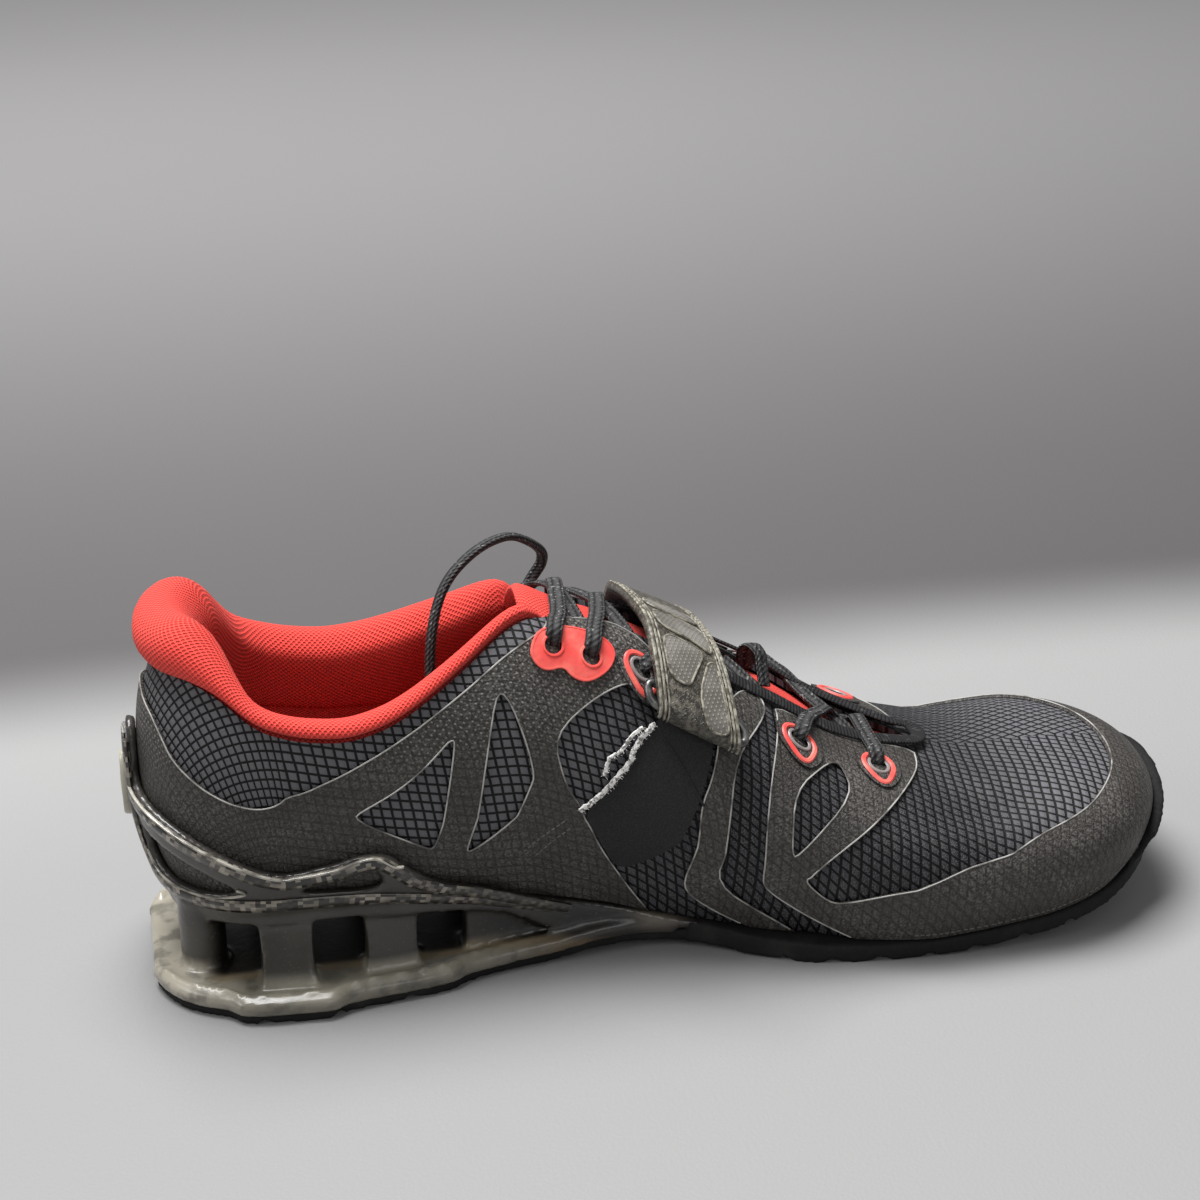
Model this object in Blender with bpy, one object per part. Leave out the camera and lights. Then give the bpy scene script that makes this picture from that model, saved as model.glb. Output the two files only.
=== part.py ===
"""Weightlifting shoe for the left foot, standing empty on its sole.

Frame in metres: +X to the toe, +Y to the lateral side, +Z up. The origin is on the floor, in the
flat of the heel tread under the heel pivot. The functions measure x from the back of the shoe.

The upper is one function of two numbers. "Along" runs round the foot from 0 at the back of the
heel through 1 and 2 at the heel and toe pivots to 3 at the toe tip, negative on the medial side.
"Up" runs from 0 at the feather edge through 1 at the widest line to 2 at the collar, the throat
or the ridge. Every piece that lies on or in the upper is worked out from the same function.
"""
import math

import bmesh
import bpy
from mathutils import Matrix, Vector

# Driving sizes, metres
LENGTH = 0.295
BALL_WIDTH = 0.101
UPPER_RISE = 0.084
HEEL_LIFT = 0.031
SOLE_FRONT = 0.006
TOE_SPRING = 0.014
ARCH_LIFT = 0.003
WALL = 0.0020
GAP = 0.0004

FILM = 0.0008
FILM_SEAT = 1.5 * GAP
PATCH_SEAT = 2 * FILM_SEAT + FILM
PANEL = 0.0010
EYELET = 0.0012
EYELET_WIDTH = 0.013
EYELET_HOLE = 0.0028

TREAD = 0.0035
GROOVE_WIDTH = 0.0025
GROOVE_DEPTH = 0.0014
BUMPER = 0.0022

PLATE = 0.0030
PLATE_LIP = 0.0009
CARRIER = 0.0068
CAGE = 0.0025
COLUMN_REACH = 0.0030
REAR_COLUMN_RADIUS = 0.0064
BADGE_LENGTH = 0.0200
BADGE_WIDTH = 0.0095
BADGE_DEPTH = 0.0014

LINING = 0.0075
SIDE_ROLL = 0.0060
HEEL_ROLL = 0.0160
TONGUE = 0.0050
TONGUE_SEAT = 2.5 * GAP
INSOLE = 0.0040

STRAP_WIDTH = 0.0250
STRAP = 0.0020
RING_WIRE = 0.0025
LACE = 0.0024
LOOSE_LACE = 0.0036

# Sections of the upper. x is a share of LENGTH. Half widths and tucks are shares of BALL_WIDTH.
# Lift is a share of the heel's lift over the forefoot sole, spring of TOE_SPRING and arch of
# ARCH_LIFT. Widest and ridge are heights over the feather edge, shares of UPPER_RISE. Full is the
# roundness of the dome, and open the angle in degrees at which it ends, 90 where it is closed.
SECTION_COLUMNS = (
    "x", "medial", "lateral", "tuck_medial", "tuck_lateral", "lift", "spring", "arch",
    "widest", "ridge", "full_medial", "full_lateral", "open_medial", "open_lateral")
SECTIONS = (
    (0.000, 0.277, 0.277, 0.050, 0.050, 1.00, 0.00, 0.0, 0.405, 0.964, 0.42, 0.42, 46, 46),
    (0.051, 0.297, 0.297, 0.050, 0.050, 1.00, 0.00, 0.0, 0.369, 0.940, 0.46, 0.46, 52, 50),
    (0.092, 0.317, 0.317, 0.050, 0.050, 1.00, 0.00, 0.0, 0.333, 0.917, 0.50, 0.50, 38, 38),
    (0.136, 0.327, 0.327, 0.050, 0.042, 1.00, 0.00, 0.0, 0.310, 0.893, 0.55, 0.55, 29, 30),
    (0.203, 0.332, 0.332, 0.060, 0.040, 0.97, 0.00, 0.0, 0.286, 0.881, 0.58, 0.58, 29, 29),
    (0.254, 0.332, 0.337, 0.062, 0.040, 0.92, 0.00, 0.0, 0.286, 0.893, 0.58, 0.60, 38, 34),
    (0.305, 0.327, 0.347, 0.069, 0.040, 0.84, 0.00, 0.0, 0.310, 0.917, 0.60, 0.62, 52, 40),
    (0.373, 0.327, 0.376, 0.089, 0.040, 0.60, 0.00, 0.2, 0.357, 1.000, 0.62, 0.66, 74, 46),
    (0.441, 0.337, 0.416, 0.109, 0.040, 0.36, 0.00, 0.9, 0.381, 1.000, 0.68, 0.74, 79, 46),
    (0.508, 0.376, 0.455, 0.109, 0.040, 0.16, 0.00, 0.8, 0.357, 0.917, 0.72, 0.84, 79, 52),
    (0.593, 0.426, 0.495, 0.089, 0.040, 0.04, 0.00, 0.0, 0.286, 0.762, 0.78, 1.00, 79, 64),
    (0.678, 0.465, 0.525, 0.050, 0.040, 0.00, 0.00, 0.0, 0.238, 0.583, 0.80, 1.08, 81, 78),
    (0.739, 0.475, 0.525, 0.040, 0.040, 0.00, 0.00, 0.0, 0.212, 0.503, 0.79, 1.12, 86, 86),
    (0.766, 0.472, 0.516, 0.040, 0.040, 0.00, 0.04, 0.0, 0.200, 0.464, 0.77, 1.15, 90, 90),
    (0.814, 0.465, 0.495, 0.040, 0.040, 0.00, 0.14, 0.0, 0.179, 0.417, 0.72, 1.18, 90, 90),
    (0.915, 0.396, 0.396, 0.040, 0.040, 0.00, 0.43, 0.0, 0.167, 0.417, 0.48, 0.62, 90, 90),
    (1.000, 0.198, 0.198, 0.040, 0.040, 0.00, 1.00, 0.0, 0.131, 0.417, 0.38, 0.40, 90, 90),
)

# The line of the ridge in plan: x is a share of LENGTH, side a share of BALL_WIDTH.
RIDGE_LINE = ((0.0, 0.0), (0.203, 0.0), (0.407, 0.010), (0.610, 0.010), (0.729, -0.010),
              (0.814, -0.020), (1.0, 0.0))

HEEL_PIVOT = 0.136
TOE_PIVOT = 0.814
HEEL_BACK = 0.010
TOE_TIP = 0.993
HEEL_ROUND = 2.15
TOE_ROUND_MEDIAL = 2.35
TOE_ROUND_LATERAL = 2.0
THROAT_END = 0.766
BRIDGE_CROWN = 0.06
TONGUE_FLARE = 0.12
FLARE_REACH = 0.11
TONGUE_START = 1.339
TONGUE_END = 1.90

# The sole's plan forward of the heel pivot: x is a share of LENGTH, half widths of BALL_WIDTH.
SOLE_COLUMNS = ("x", "medial", "lateral")
SOLE_PLAN = (
    (0.136, 0.424, 0.424),
    (0.164, 0.430, 0.430),
    (0.178, 0.406, 0.408),
    (0.280, 0.360, 0.392),
    (0.296, 0.330, 0.374),
    (0.383, 0.290, 0.376),
    (0.464, 0.272, 0.400),
    (0.522, 0.302, 0.440),
    (0.576, 0.376, 0.476),
    (0.637, 0.440, 0.512),
    (0.705, 0.452, 0.528),
    (0.760, 0.448, 0.520),
    (0.814, 0.440, 0.498),
)
SOLE_HEEL_ROUND = 2.5
SOLE_TOE_ROUND_MEDIAL = 2.3
SOLE_TOE_ROUND_LATERAL = 2.05
NOTCH = 0.075
TRUSS_END = 0.525

# Ribs along the foot on one side and rows up it, in the upper's own numbers.
RIBS = ([i / 7 for i in range(7)] + [1 + i / 15 for i in range(14)] + [1.93, 2.0]
        + [2 + i / 7 for i in range(1, 8)])
ROWS = (0.0, 0.4, 0.75, 1.0, 1.2, 1.4, 1.6, 1.78, 1.9, 2.0)


def smooth(values, x):
    """Smooth curve through rows of (x, y) that never swings past a row."""
    if x <= values[0][0]:
        return values[0][1]
    if x >= values[-1][0]:
        return values[-1][1]
    last = len(values) - 1
    i = max(j for j in range(last) if values[j][0] <= x)

    def rise(j):
        return (values[j + 1][1] - values[j][1]) / (values[j + 1][0] - values[j][0])

    def slope(j):
        if j == 0 or j == last:
            return rise(min(j, last - 1))
        before, after = rise(j - 1), rise(j)
        return 0.0 if before * after <= 0 else 2 * before * after / (before + after)

    step = values[i + 1][0] - values[i][0]
    t = (x - values[i][0]) / step
    start, end = slope(i) * step, slope(i + 1) * step
    return ((2 * t ** 3 - 3 * t ** 2 + 1) * values[i][1] + (t ** 3 - 2 * t ** 2 + t) * start
            + (3 * t ** 2 - 2 * t ** 3) * values[i + 1][1] + (t ** 3 - t ** 2) * end)


def section(name, x):
    """Value of a section column at the share x of the length."""
    column = SECTION_COLUMNS.index(name)
    return smooth([(row[0], row[column]) for row in SECTIONS], x)


def plan(side, x):
    """Half width of the sole at the share x of the length."""
    column = SOLE_COLUMNS.index("medial" if side < 0 else "lateral")
    return BALL_WIDTH * smooth([(row[0], row[column]) for row in SOLE_PLAN], x)


def ridge_y(x):
    return BALL_WIDTH * smooth(RIDGE_LINE, x)


def feather(x):
    """Height of the upper's lower edge at x in metres."""
    share = x / LENGTH
    return (SOLE_FRONT + section("lift", share) * (HEEL_LIFT - SOLE_FRONT)
            + section("spring", share) * TOE_SPRING)


def tread(x):
    """Height of the sole's underside at x in metres."""
    share = x / LENGTH
    return section("spring", share) * TOE_SPRING + section("arch", share) * ARCH_LIFT


def radius(reach_long, reach_side, cosine, sine, roundness):
    return ((abs(cosine) / reach_long) ** roundness
            + (abs(sine) / reach_side) ** roundness) ** (-1 / roundness)


def wrap(along):
    """Along folded into -3 to 3, so that a piece may run on past the toe tip."""
    if along > 3:
        return along - 6
    if along < -3:
        return along + 6
    return along


def rib(along):
    """Origin, direction and reach of the rib at along, with the share x of its widest point."""
    side = -1 if along < 0 else 1
    along = abs(along)
    width = "medial" if side < 0 else "lateral"
    if along < 1 or along > 2:
        heel = along < 1
        pivot = HEEL_PIVOT if heel else TOE_PIVOT
        turn = (along if heel else 3 - along) * math.pi / 2
        toe_round = TOE_ROUND_MEDIAL if side < 0 else TOE_ROUND_LATERAL
        reach = radius(LENGTH * abs(pivot - (HEEL_BACK if heel else TOE_TIP)),
                       BALL_WIDTH * section(width, pivot), math.cos(turn), math.sin(turn),
                       HEEL_ROUND if heel else toe_round)
        origin = Vector((LENGTH * pivot, ridge_y(pivot), 0))
        direction = Vector((math.cos(turn) * (-1 if heel else 1), side * math.sin(turn), 0))
        return origin, direction, reach, (origin.x + direction.x * reach) / LENGTH
    x = HEEL_PIVOT + (along - 1) * (TOE_PIVOT - HEEL_PIVOT)
    return (Vector((LENGTH * x, ridge_y(x), 0)), Vector((0, side, 0)),
            BALL_WIDTH * section(width, x), x)


def by_side(name, along, x):
    """A column that differs by side, shared evenly at the back of the heel and the toe tip."""
    own, other = ("medial", "lateral") if along < 0 else ("lateral", "medial")
    distance = min(abs(along), 3 - abs(along), 1)
    share = 0.5 + 0.5 * math.sin(distance * math.pi / 2)
    return (section(name + "_" + own, x) * share + section(name + "_" + other, x) * (1 - share))


def vault(along, angle, out=0.0):
    """Point of the dome at an angle in degrees over the widest line, 90 at the ridge."""
    along = wrap(along)
    origin, direction, reach, x = rib(along)
    pivot_x = min(max(origin.x, LENGTH * HEEL_PIVOT), LENGTH * TOE_PIVOT)
    low = feather(x * LENGTH) + UPPER_RISE * section("widest", x)
    top = feather(pivot_x) + UPPER_RISE * section("ridge", pivot_x / LENGTH)
    turn = math.radians(angle)
    across = (reach + out) * max(math.cos(turn), 0.0) ** by_side("full", along, x)
    point = origin + direction * across
    point.z = low + (top + out - low) * math.sin(turn)
    return point


def instep(along, turn, out=0.0):
    """Point over the instep at a turn in degrees from the medial side to the lateral one.

    Between the edges of the throat it follows a low bridge from edge to edge.
    """
    x = rib(along)[3]
    medial, lateral = by_side("open", -along, x), by_side("open", along, x)
    if turn <= medial or medial + lateral > 179:
        return vault(-along, turn, out) if turn <= 90 else vault(along, 180 - turn, out)
    if turn >= 180 - lateral:
        return vault(along, 180 - turn, out)
    share = (turn - medial) / (180 - lateral - medial)
    flare = min(max(1 - (along - TONGUE_START) / FLARE_REACH, 0.0), 1.0) ** 2
    crown = BRIDGE_CROWN + TONGUE_FLARE * flare
    start, end = vault(-along, medial, out), vault(along, lateral, out)
    point = start.lerp(end, share)
    point.z += crown * (end - start).length * math.sin(math.pi * share)
    return point


def skin(along, up, out=0.0):
    """Point of the upper's outer face, moved outwards by out."""
    along = wrap(along)
    origin, direction, reach, x = rib(along)
    if up > 1:
        return vault(along, (up - 1) * by_side("open", along, x), out)
    across = reach + out - BALL_WIDTH * by_side("tuck", along, x) * (1 - up) ** 2
    point = origin + direction * across
    point.z = feather(x * LENGTH) + UPPER_RISE * section("widest", x) * up
    return point


def new_collection(name):
    collection = bpy.data.collections.new(name)
    bpy.context.scene.collection.children.link(collection)
    return collection


def new_material(name, colour, roughness, metallic=0.0):
    material = bpy.data.materials.new(name)
    material.use_nodes = True
    shader = material.node_tree.nodes["Principled BSDF"]
    shader.inputs["Base Color"].default_value = (*colour, 1.0)
    shader.inputs["Roughness"].default_value = roughness
    shader.inputs["Metallic"].default_value = metallic
    return material


def face_out(bm):
    bmesh.ops.recalc_face_normals(bm, faces=bm.faces)
    if bm.calc_volume(signed=True) < 0:
        bmesh.ops.reverse_faces(bm, faces=bm.faces)


def finish(bm, name, material, collection):
    """Turn a closed bmesh into a named object of the shoe, with its faces pointing out."""
    face_out(bm)
    mesh = bpy.data.meshes.new(name)
    bm.to_mesh(mesh)
    bm.free()
    mesh.shade_smooth()
    mesh.set_sharp_from_angle(angle=math.radians(40))
    mesh.materials.append(material)
    obj = bpy.data.objects.new(name, mesh)
    collection.objects.link(obj)
    return obj


def chart_cut(outline, windows, alongs, ups):
    """Flat mesh of an outline with windows, split along the upper's ribs and rows."""
    bm = bmesh.new()
    edges = []
    for loop in (outline, *windows):
        corners = [bm.verts.new((along, up, 0)) for along, up in loop]
        edges += [bm.edges.new((a, b)) for a, b in zip(corners, corners[1:] + corners[:1])]
    bmesh.ops.triangle_fill(bm, edges=edges, use_beauty=True, use_dissolve=False)
    for normal, places in (((1, 0, 0), alongs), ((0, 1, 0), ups)):
        for place in places:
            everything = bm.verts[:] + bm.edges[:] + bm.faces[:]
            bmesh.ops.bisect_plane(bm, geom=everything, dist=0.001, plane_co=[
                place * part for part in normal], plane_no=normal)
    bmesh.ops.dissolve_limit(bm, angle_limit=0.001, verts=bm.verts, edges=[
        edge for edge in bm.edges if not on_grid(edge, alongs, ups)])
    return bm


def on_grid(edge, alongs, ups):
    """True for an edge that lies on one of the ribs or rows, or on the outline."""
    if not edge.is_manifold:
        return True
    a, b = (vert.co for vert in edge.verts)
    close = 0.002
    return (abs(a.x - b.x) < close and any(abs(a.x - place) < close for place in alongs)
            or abs(a.y - b.y) < close and any(abs(a.y - place) < close for place in ups))


def raise_chart(bm, low, high, place):
    """Give a flat chart its thickness and bend it on to the upper: place(along, up, out)."""
    bmesh.ops.recalc_face_normals(bm, faces=bm.faces)
    if bm.faces[:][0].normal.z < 0:
        bmesh.ops.reverse_faces(bm, faces=bm.faces)
    made = bmesh.ops.extrude_face_region(bm, geom=bm.faces[:])
    top = {item for item in made["geom"] if isinstance(item, bmesh.types.BMVert)}
    for vert in bm.verts:
        vert.co = place(vert.co.x, vert.co.y, high if vert in top else low)


def both_sides(alongs):
    return sorted({side * along for along in alongs for side in (-1, 1)})


def overlay(name, outline, windows, low, thickness, material, collection):
    """A welded piece that lies on the upper, low over its face."""
    ribs = both_sides(RIBS) + [6 - along for along in RIBS[:-1]]
    reach = [along for along, up in outline]
    ups = [up for along, up in outline]
    bm = chart_cut(outline, windows,
                   [along for along in ribs if min(reach) < along < max(reach)],
                   [row for row in ROWS if min(ups) < row < max(ups)])
    raise_chart(bm, low, low + thickness, skin)
    return finish(bm, name, material, collection)


def mirrored(points):
    return [(-along, up) for along, up in points]


def chart_grid(alongs, rows):
    """Flat grid with a column for each rib and a line for each row."""
    bm = bmesh.new()
    bmesh.ops.create_grid(bm, x_segments=len(alongs) - 1, y_segments=len(rows) - 1, size=0.5)
    for vert in bm.verts:
        column = round((vert.co.x + 0.5) * (len(alongs) - 1))
        row = round((vert.co.y + 0.5) * (len(rows) - 1))
        vert.co = (alongs[column], rows[row], 0)
    return bm


def build_upper(material, collection):
    """One hollow shell, open at the collar, the throat and underneath."""
    closed = 1 + (THROAT_END - HEEL_PIVOT) / (TOE_PIVOT - HEEL_PIVOT) - 0.001
    bm = chart_grid(both_sides(RIBS), ROWS)

    def seam(face):
        toe = all(abs(vert.co.x) > 2.999 for vert in face.verts)
        ridge = all(vert.co.y > 1.999 and abs(vert.co.x) > closed for vert in face.verts)
        return toe or ridge

    made = bmesh.ops.extrude_face_region(bm, geom=bm.faces[:])
    top = {item for item in made["geom"] if isinstance(item, bmesh.types.BMVert)}
    bmesh.ops.delete(bm, geom=[face for face in bm.faces if seam(face)], context="FACES")
    for vert in bm.verts:
        vert.co = skin(vert.co.x, vert.co.y, 0.0 if vert in top else -WALL)
    bmesh.ops.remove_doubles(bm, verts=bm.verts, dist=0.00002)
    bmesh.ops.dissolve_degenerate(bm, dist=0.00002, edges=bm.edges)
    return finish(bm, "upper", material, collection)


# Films and panels of the medial side, as corners of (along, up). The lateral side mirrors them.
COLLAR_LINE = [(0.0, 1.66), (0.30, 1.48), (0.42, 1.28), (0.57, 1.16), (0.73, 1.12), (0.85, 1.14),
               (0.96, 1.24), (1.06, 1.52), (1.147, 1.80), (1.24, 1.86), (1.34, 1.88), (1.37, 1.96)]
THROAT_SIDE = [(1.52, 1.96), (1.51, 1.70), (1.43, 1.54), (1.363, 1.35), (1.377, 1.14),
               (1.403, 1.03), (1.427, 0.68), (1.467, 0.29), (1.50, 0.0)]
WINDOW_REAR = [(1.107, 1.14), (1.222, 1.56), (1.227, 1.50), (1.197, 0.74), (1.187, 0.71)]
WINDOW_FRONT = [(1.300, 1.66), (1.284, 1.62), (1.237, 0.62), (1.246, 0.58), (1.327, 1.12),
                (1.337, 1.20)]
ARCH_STRIP = [(1.558, 1.05), (1.537, 0.54), (1.553, 0.35), (1.64, 0.0), (1.70, 0.0),
              (1.66, 0.28), (1.58, 0.64), (1.597, 1.12), (1.613, 1.49), (1.672, 1.84),
              (1.675, 1.96), (1.645, 1.96), (1.600, 1.70), (1.590, 1.50), (1.578, 1.34),
              (1.562, 1.20)]
ANCHOR = [(1.412, 1.03), (1.448, 1.22), (1.507, 1.47), (1.545, 1.57), (1.580, 1.60),
          (1.584, 1.50), (1.571, 1.34), (1.554, 1.20), (1.513, 1.00), (1.46, 0.55), (1.434, 0.79)]
CHEVRON = [(1.78, 0.0), (1.653, 0.69), (1.643, 0.83), (1.653, 1.34), (1.690, 1.84), (1.692, 1.96),
           (1.905, 1.96), (1.897, 1.84), (1.873, 1.72), (1.707, 1.01), (1.703, 0.92),
           (1.737, 0.66)]
TOE_LINE = [(1.757, 0.66), (1.823, 0.92), (1.95, 1.23), (2.12, 1.38), (2.34, 1.48), (2.56, 1.60),
            (2.80, 1.66), (3.0, 1.67)]
WINDOW_CHEVRON = [(1.753, 1.72), (1.773, 1.75), (1.780, 1.57), (1.690, 1.09), (1.683, 1.13),
                  (1.693, 1.45)]


def build_films(material, collection):
    """Welded film: the counter round the heel, a strip at the arch, chevrons and the toe cap."""
    side = COLLAR_LINE[1:] + THROAT_SIDE
    outline = list(reversed(mirrored(side))) + [COLLAR_LINE[0]] + side
    windows = [WINDOW_REAR, WINDOW_FRONT, mirrored(WINDOW_REAR), mirrored(WINDOW_FRONT)]
    overlay("counter_film", outline, windows, FILM_SEAT, FILM, material, collection)
    overlay("arch_strip_medial", mirrored(ARCH_STRIP), [], FILM_SEAT, FILM, material, collection)
    overlay("arch_strip_lateral", ARCH_STRIP, [], FILM_SEAT, FILM, material, collection)
    rear = CHEVRON + TOE_LINE[:-1]
    outline = rear + [TOE_LINE[-1]] + [(6 - along, up) for along, up in reversed(rear)]
    windows = [WINDOW_CHEVRON, [(6 - along, up) for along, up in WINDOW_CHEVRON]]
    overlay("toe_cap", outline, windows, FILM_SEAT, FILM, material, collection)


def build_anchor_panels(material, collection):
    """Smooth panels beside the film, which hold the instep strap on both sides."""
    overlay("anchor_panel_medial", mirrored(ANCHOR), [], FILM_SEAT, PANEL, material, collection)
    overlay("anchor_panel_lateral", ANCHOR, [], FILM_SEAT, PANEL, material, collection)


EYELET_ROWS = (("top", 1.373, 1.78), ("second", 1.424, 1.72), ("third", 1.494, 1.73),
               ("fourth", 1.715, 1.77), ("fifth", 1.832, 1.80))
TOP_SHIELD = [(1.340, 1.78), (1.360, 1.90), (1.427, 1.87), (1.460, 1.79), (1.450, 1.67),
              (1.418, 1.59), (1.395, 1.61), (1.385, 1.67), (1.360, 1.65), (1.345, 1.70)]


def ring_of(along, up, reach, corners, point=1.0):
    """Corners round a place on the upper, reach metres from it, drawn to a point below."""
    step = LENGTH * (TOE_PIVOT - HEEL_PIVOT)
    rise = (skin(along, up + 0.05) - skin(along, up - 0.05)).length / 0.1
    ring = []
    for i in range(corners):
        turn = math.tau * i / corners + math.pi / 2
        drop = reach * math.sin(turn)
        ring.append((along + reach * math.cos(turn) / step,
                     up + (drop * point if drop < -0.9 * reach else drop) / rise))
    return ring


def build_eyelets(material, collection):
    """Welded shields with round holes at the throat's edge: one pair shares a patch."""
    for side, word in ((-1, "medial"), (1, "lateral")):
        holes = [ring_of(side * along, up, EYELET_HOLE, 6) for _, along, up in EYELET_ROWS[:2]]
        outline = TOP_SHIELD if side > 0 else mirrored(TOP_SHIELD)
        overlay("eyelet_patch_" + word, outline, holes, PATCH_SEAT, EYELET, material,
                collection)
        for name, along, up in EYELET_ROWS[2:]:
            outline = ring_of(side * along, up, EYELET_WIDTH / 2, 6, 1.25)
            hole = ring_of(side * along, up, EYELET_HOLE, 6)
            overlay("eyelet_%s_%s" % (name, word), outline, [hole], PATCH_SEAT, EYELET,
                    material, collection)


def half_plan(side, x):
    """Half width of the sole at x in metres, rounded off at the heel and the toe."""
    share = x / LENGTH
    if share < HEEL_PIVOT:
        reach = 1 - share / HEEL_PIVOT
        lobe = 1 - NOTCH * (0.5 - 0.5 * math.tanh((share - NOTCH) / 0.004)) * (1 - reach ** 4)
        return plan(side, HEEL_PIVOT) * lobe * max(
            1 - reach ** SOLE_HEEL_ROUND, 0) ** (1 / SOLE_HEEL_ROUND)
    if share > TOE_PIVOT:
        reach = (share - TOE_PIVOT) / (1 - TOE_PIVOT)
        roundness = SOLE_TOE_ROUND_MEDIAL if side < 0 else SOLE_TOE_ROUND_LATERAL
        return plan(side, TOE_PIVOT) * max(1 - reach ** roundness, 0) ** (1 / roundness)
    return plan(side, share)


def half_upper(side, x):
    """Half width of the upper's feather edge at x in metres."""
    share = x / LENGTH
    width, tuck = ("medial", "tuck_medial") if side < 0 else ("lateral", "tuck_lateral")
    if share < HEEL_PIVOT:
        trim = BALL_WIDTH * section(tuck, HEEL_PIVOT)
        reach = (HEEL_PIVOT - share) * LENGTH / ((HEEL_PIVOT - HEEL_BACK) * LENGTH - trim)
        half = BALL_WIDTH * section(width, HEEL_PIVOT) - trim
        return half * max(1 - reach ** HEEL_ROUND, 0) ** (1 / HEEL_ROUND)
    if share > TOE_PIVOT:
        trim = BALL_WIDTH * section(tuck, TOE_PIVOT)
        reach = (share - TOE_PIVOT) * LENGTH / ((TOE_TIP - TOE_PIVOT) * LENGTH - trim)
        roundness = TOE_ROUND_MEDIAL if side < 0 else TOE_ROUND_LATERAL
        half = BALL_WIDTH * section(width, TOE_PIVOT) - trim
        return half * max(1 - reach ** roundness, 0) ** (1 / roundness)
    return BALL_WIDTH * (section(width, share) - section(tuck, share))


HEEL_STEPS = (0.006, 0.03, 0.09, 0.18, 0.29, 0.42, 0.56, 0.71, 0.86)
TOE_STEPS = (0.2, 0.38, 0.54, 0.68, 0.80, 0.89, 0.955, 0.99)


def stations(start, end, extra=()):
    """Cross sections of a slab in metres: close together where the plan turns."""
    middle = [HEEL_PIVOT + (along - 1) * (TOE_PIVOT - HEEL_PIVOT)
              for along in RIBS if 1 <= along <= 2]
    shares = ([HEEL_PIVOT * step for step in HEEL_STEPS] + middle
              + [TOE_PIVOT + (1 - TOE_PIVOT) * step for step in TOE_STEPS] + list(extra))
    inner = [LENGTH * share for share in shares if start < LENGTH * share < end]
    return [start] + sorted(inner) + [end]


def slab(places, half, inset, top, bottom, across=(-1.0, 0.0, 1.0)):
    """Closed plate between two heights, its edge inset from a half width."""
    bm = chart_grid(places, across)
    made = bmesh.ops.extrude_face_region(bm, geom=bm.faces[:])
    upper = {item for item in made["geom"] if isinstance(item, bmesh.types.BMVert)}
    for vert in bm.verts:
        x, share = vert.co.x, vert.co.y
        side = -1 if share < 0 else 1
        reach = max(half(side, x) - inset, 0.0008)
        height = top(x) if vert in upper else bottom(x)
        vert.co = (x, ridge_y(x / LENGTH) + share * reach, height)
    bmesh.ops.recalc_face_normals(bm, faces=bm.faces)
    return bm


def scratch(bm, name, collection):
    """Object that takes part in a union or a cut and is removed afterwards."""
    face_out(bm)
    mesh = bpy.data.meshes.new(name)
    bm.to_mesh(mesh)
    bm.free()
    obj = bpy.data.objects.new(name, mesh)
    obj.hide_render = True
    obj.display_type = "WIRE"
    collection.objects.link(obj)
    return obj


def combine(obj, others, operation):
    """Union or cut one object with others, and bake the result into its mesh."""
    for other in others:
        modifier = obj.modifiers.new("combine", "BOOLEAN")
        modifier.operation = operation
        modifier.solver = "EXACT"
        modifier.object = other
    depsgraph = bpy.context.evaluated_depsgraph_get()
    mesh = bpy.data.meshes.new_from_object(obj.evaluated_get(depsgraph))
    obj.modifiers.clear()
    old = obj.data
    obj.data = mesh
    bpy.data.meshes.remove(old)
    for other in others:
        bpy.data.objects.remove(other)
    bm = bmesh.new()
    bm.from_mesh(mesh)
    bmesh.ops.remove_doubles(bm, verts=bm.verts, dist=0.00001)
    bmesh.ops.dissolve_degenerate(bm, dist=0.00001, edges=bm.edges)
    bm.to_mesh(mesh)
    bm.free()


def sole_top(x):
    """Top of the rubber: low under the truss, and up to the upper forward of it."""
    if x < LENGTH * TRUSS_END:
        return tread(x) + TREAD
    return feather(x) - GAP


GROOVES = (0.10, 0.17, 0.24, 0.60, 0.645, 0.69, 0.735, 0.78, 0.83, 0.88)


def build_outsole(material, collection, cutters):
    """Rubber tread with flex grooves and a bumper that wraps the toe tip."""
    step = GAP / LENGTH
    places = stations(0.0006, LENGTH - 0.0004,
                      (0.164, 0.178, 0.280, 0.296, TRUSS_END - step / 2, TRUSS_END + step / 2))
    bm = slab(places, half_plan, 0.0, sole_top, tread)
    outsole = finish(bm, "outsole", material, collection)
    bumper = [(2.50, -0.3), (3.42, -0.3), (3.36, 0.55), (3.20, 1.0), (3.0, 1.15), (2.80, 1.10),
              (2.62, 0.80), (2.52, 0.3)]
    ribs = [along for along in RIBS if along > 2.5] + [6 - along for along in RIBS
                                                       if 2.58 < along < 3]
    bm = chart_cut(bumper, [], ribs, [0.0, 0.35, 0.7, 1.0])
    raise_chart(bm, PATCH_SEAT, PATCH_SEAT + BUMPER, skin)
    wrapped = scratch(bm, "bumper", cutters)
    combine(outsole, [wrapped], "UNION")
    grooves = []
    for share in GROOVES:
        bm = bmesh.new()
        bmesh.ops.create_cube(bm, size=1.0)
        x = share * LENGTH
        lean = section("spring", share + 0.01) - section("spring", share - 0.01)
        for vert in bm.verts:
            vert.co = (x + vert.co.x * GROOVE_WIDTH, vert.co.y * BALL_WIDTH * 1.5,
                       tread(x) + (GROOVE_DEPTH if vert.co.z > 0 else -GROOVE_DEPTH)
                       + vert.co.x * GROOVE_WIDTH * lean * TOE_SPRING / (0.02 * LENGTH))
        grooves.append(scratch(bm, "groove", cutters))
    combine(outsole, grooves, "DIFFERENCE")
    return outsole


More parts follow.
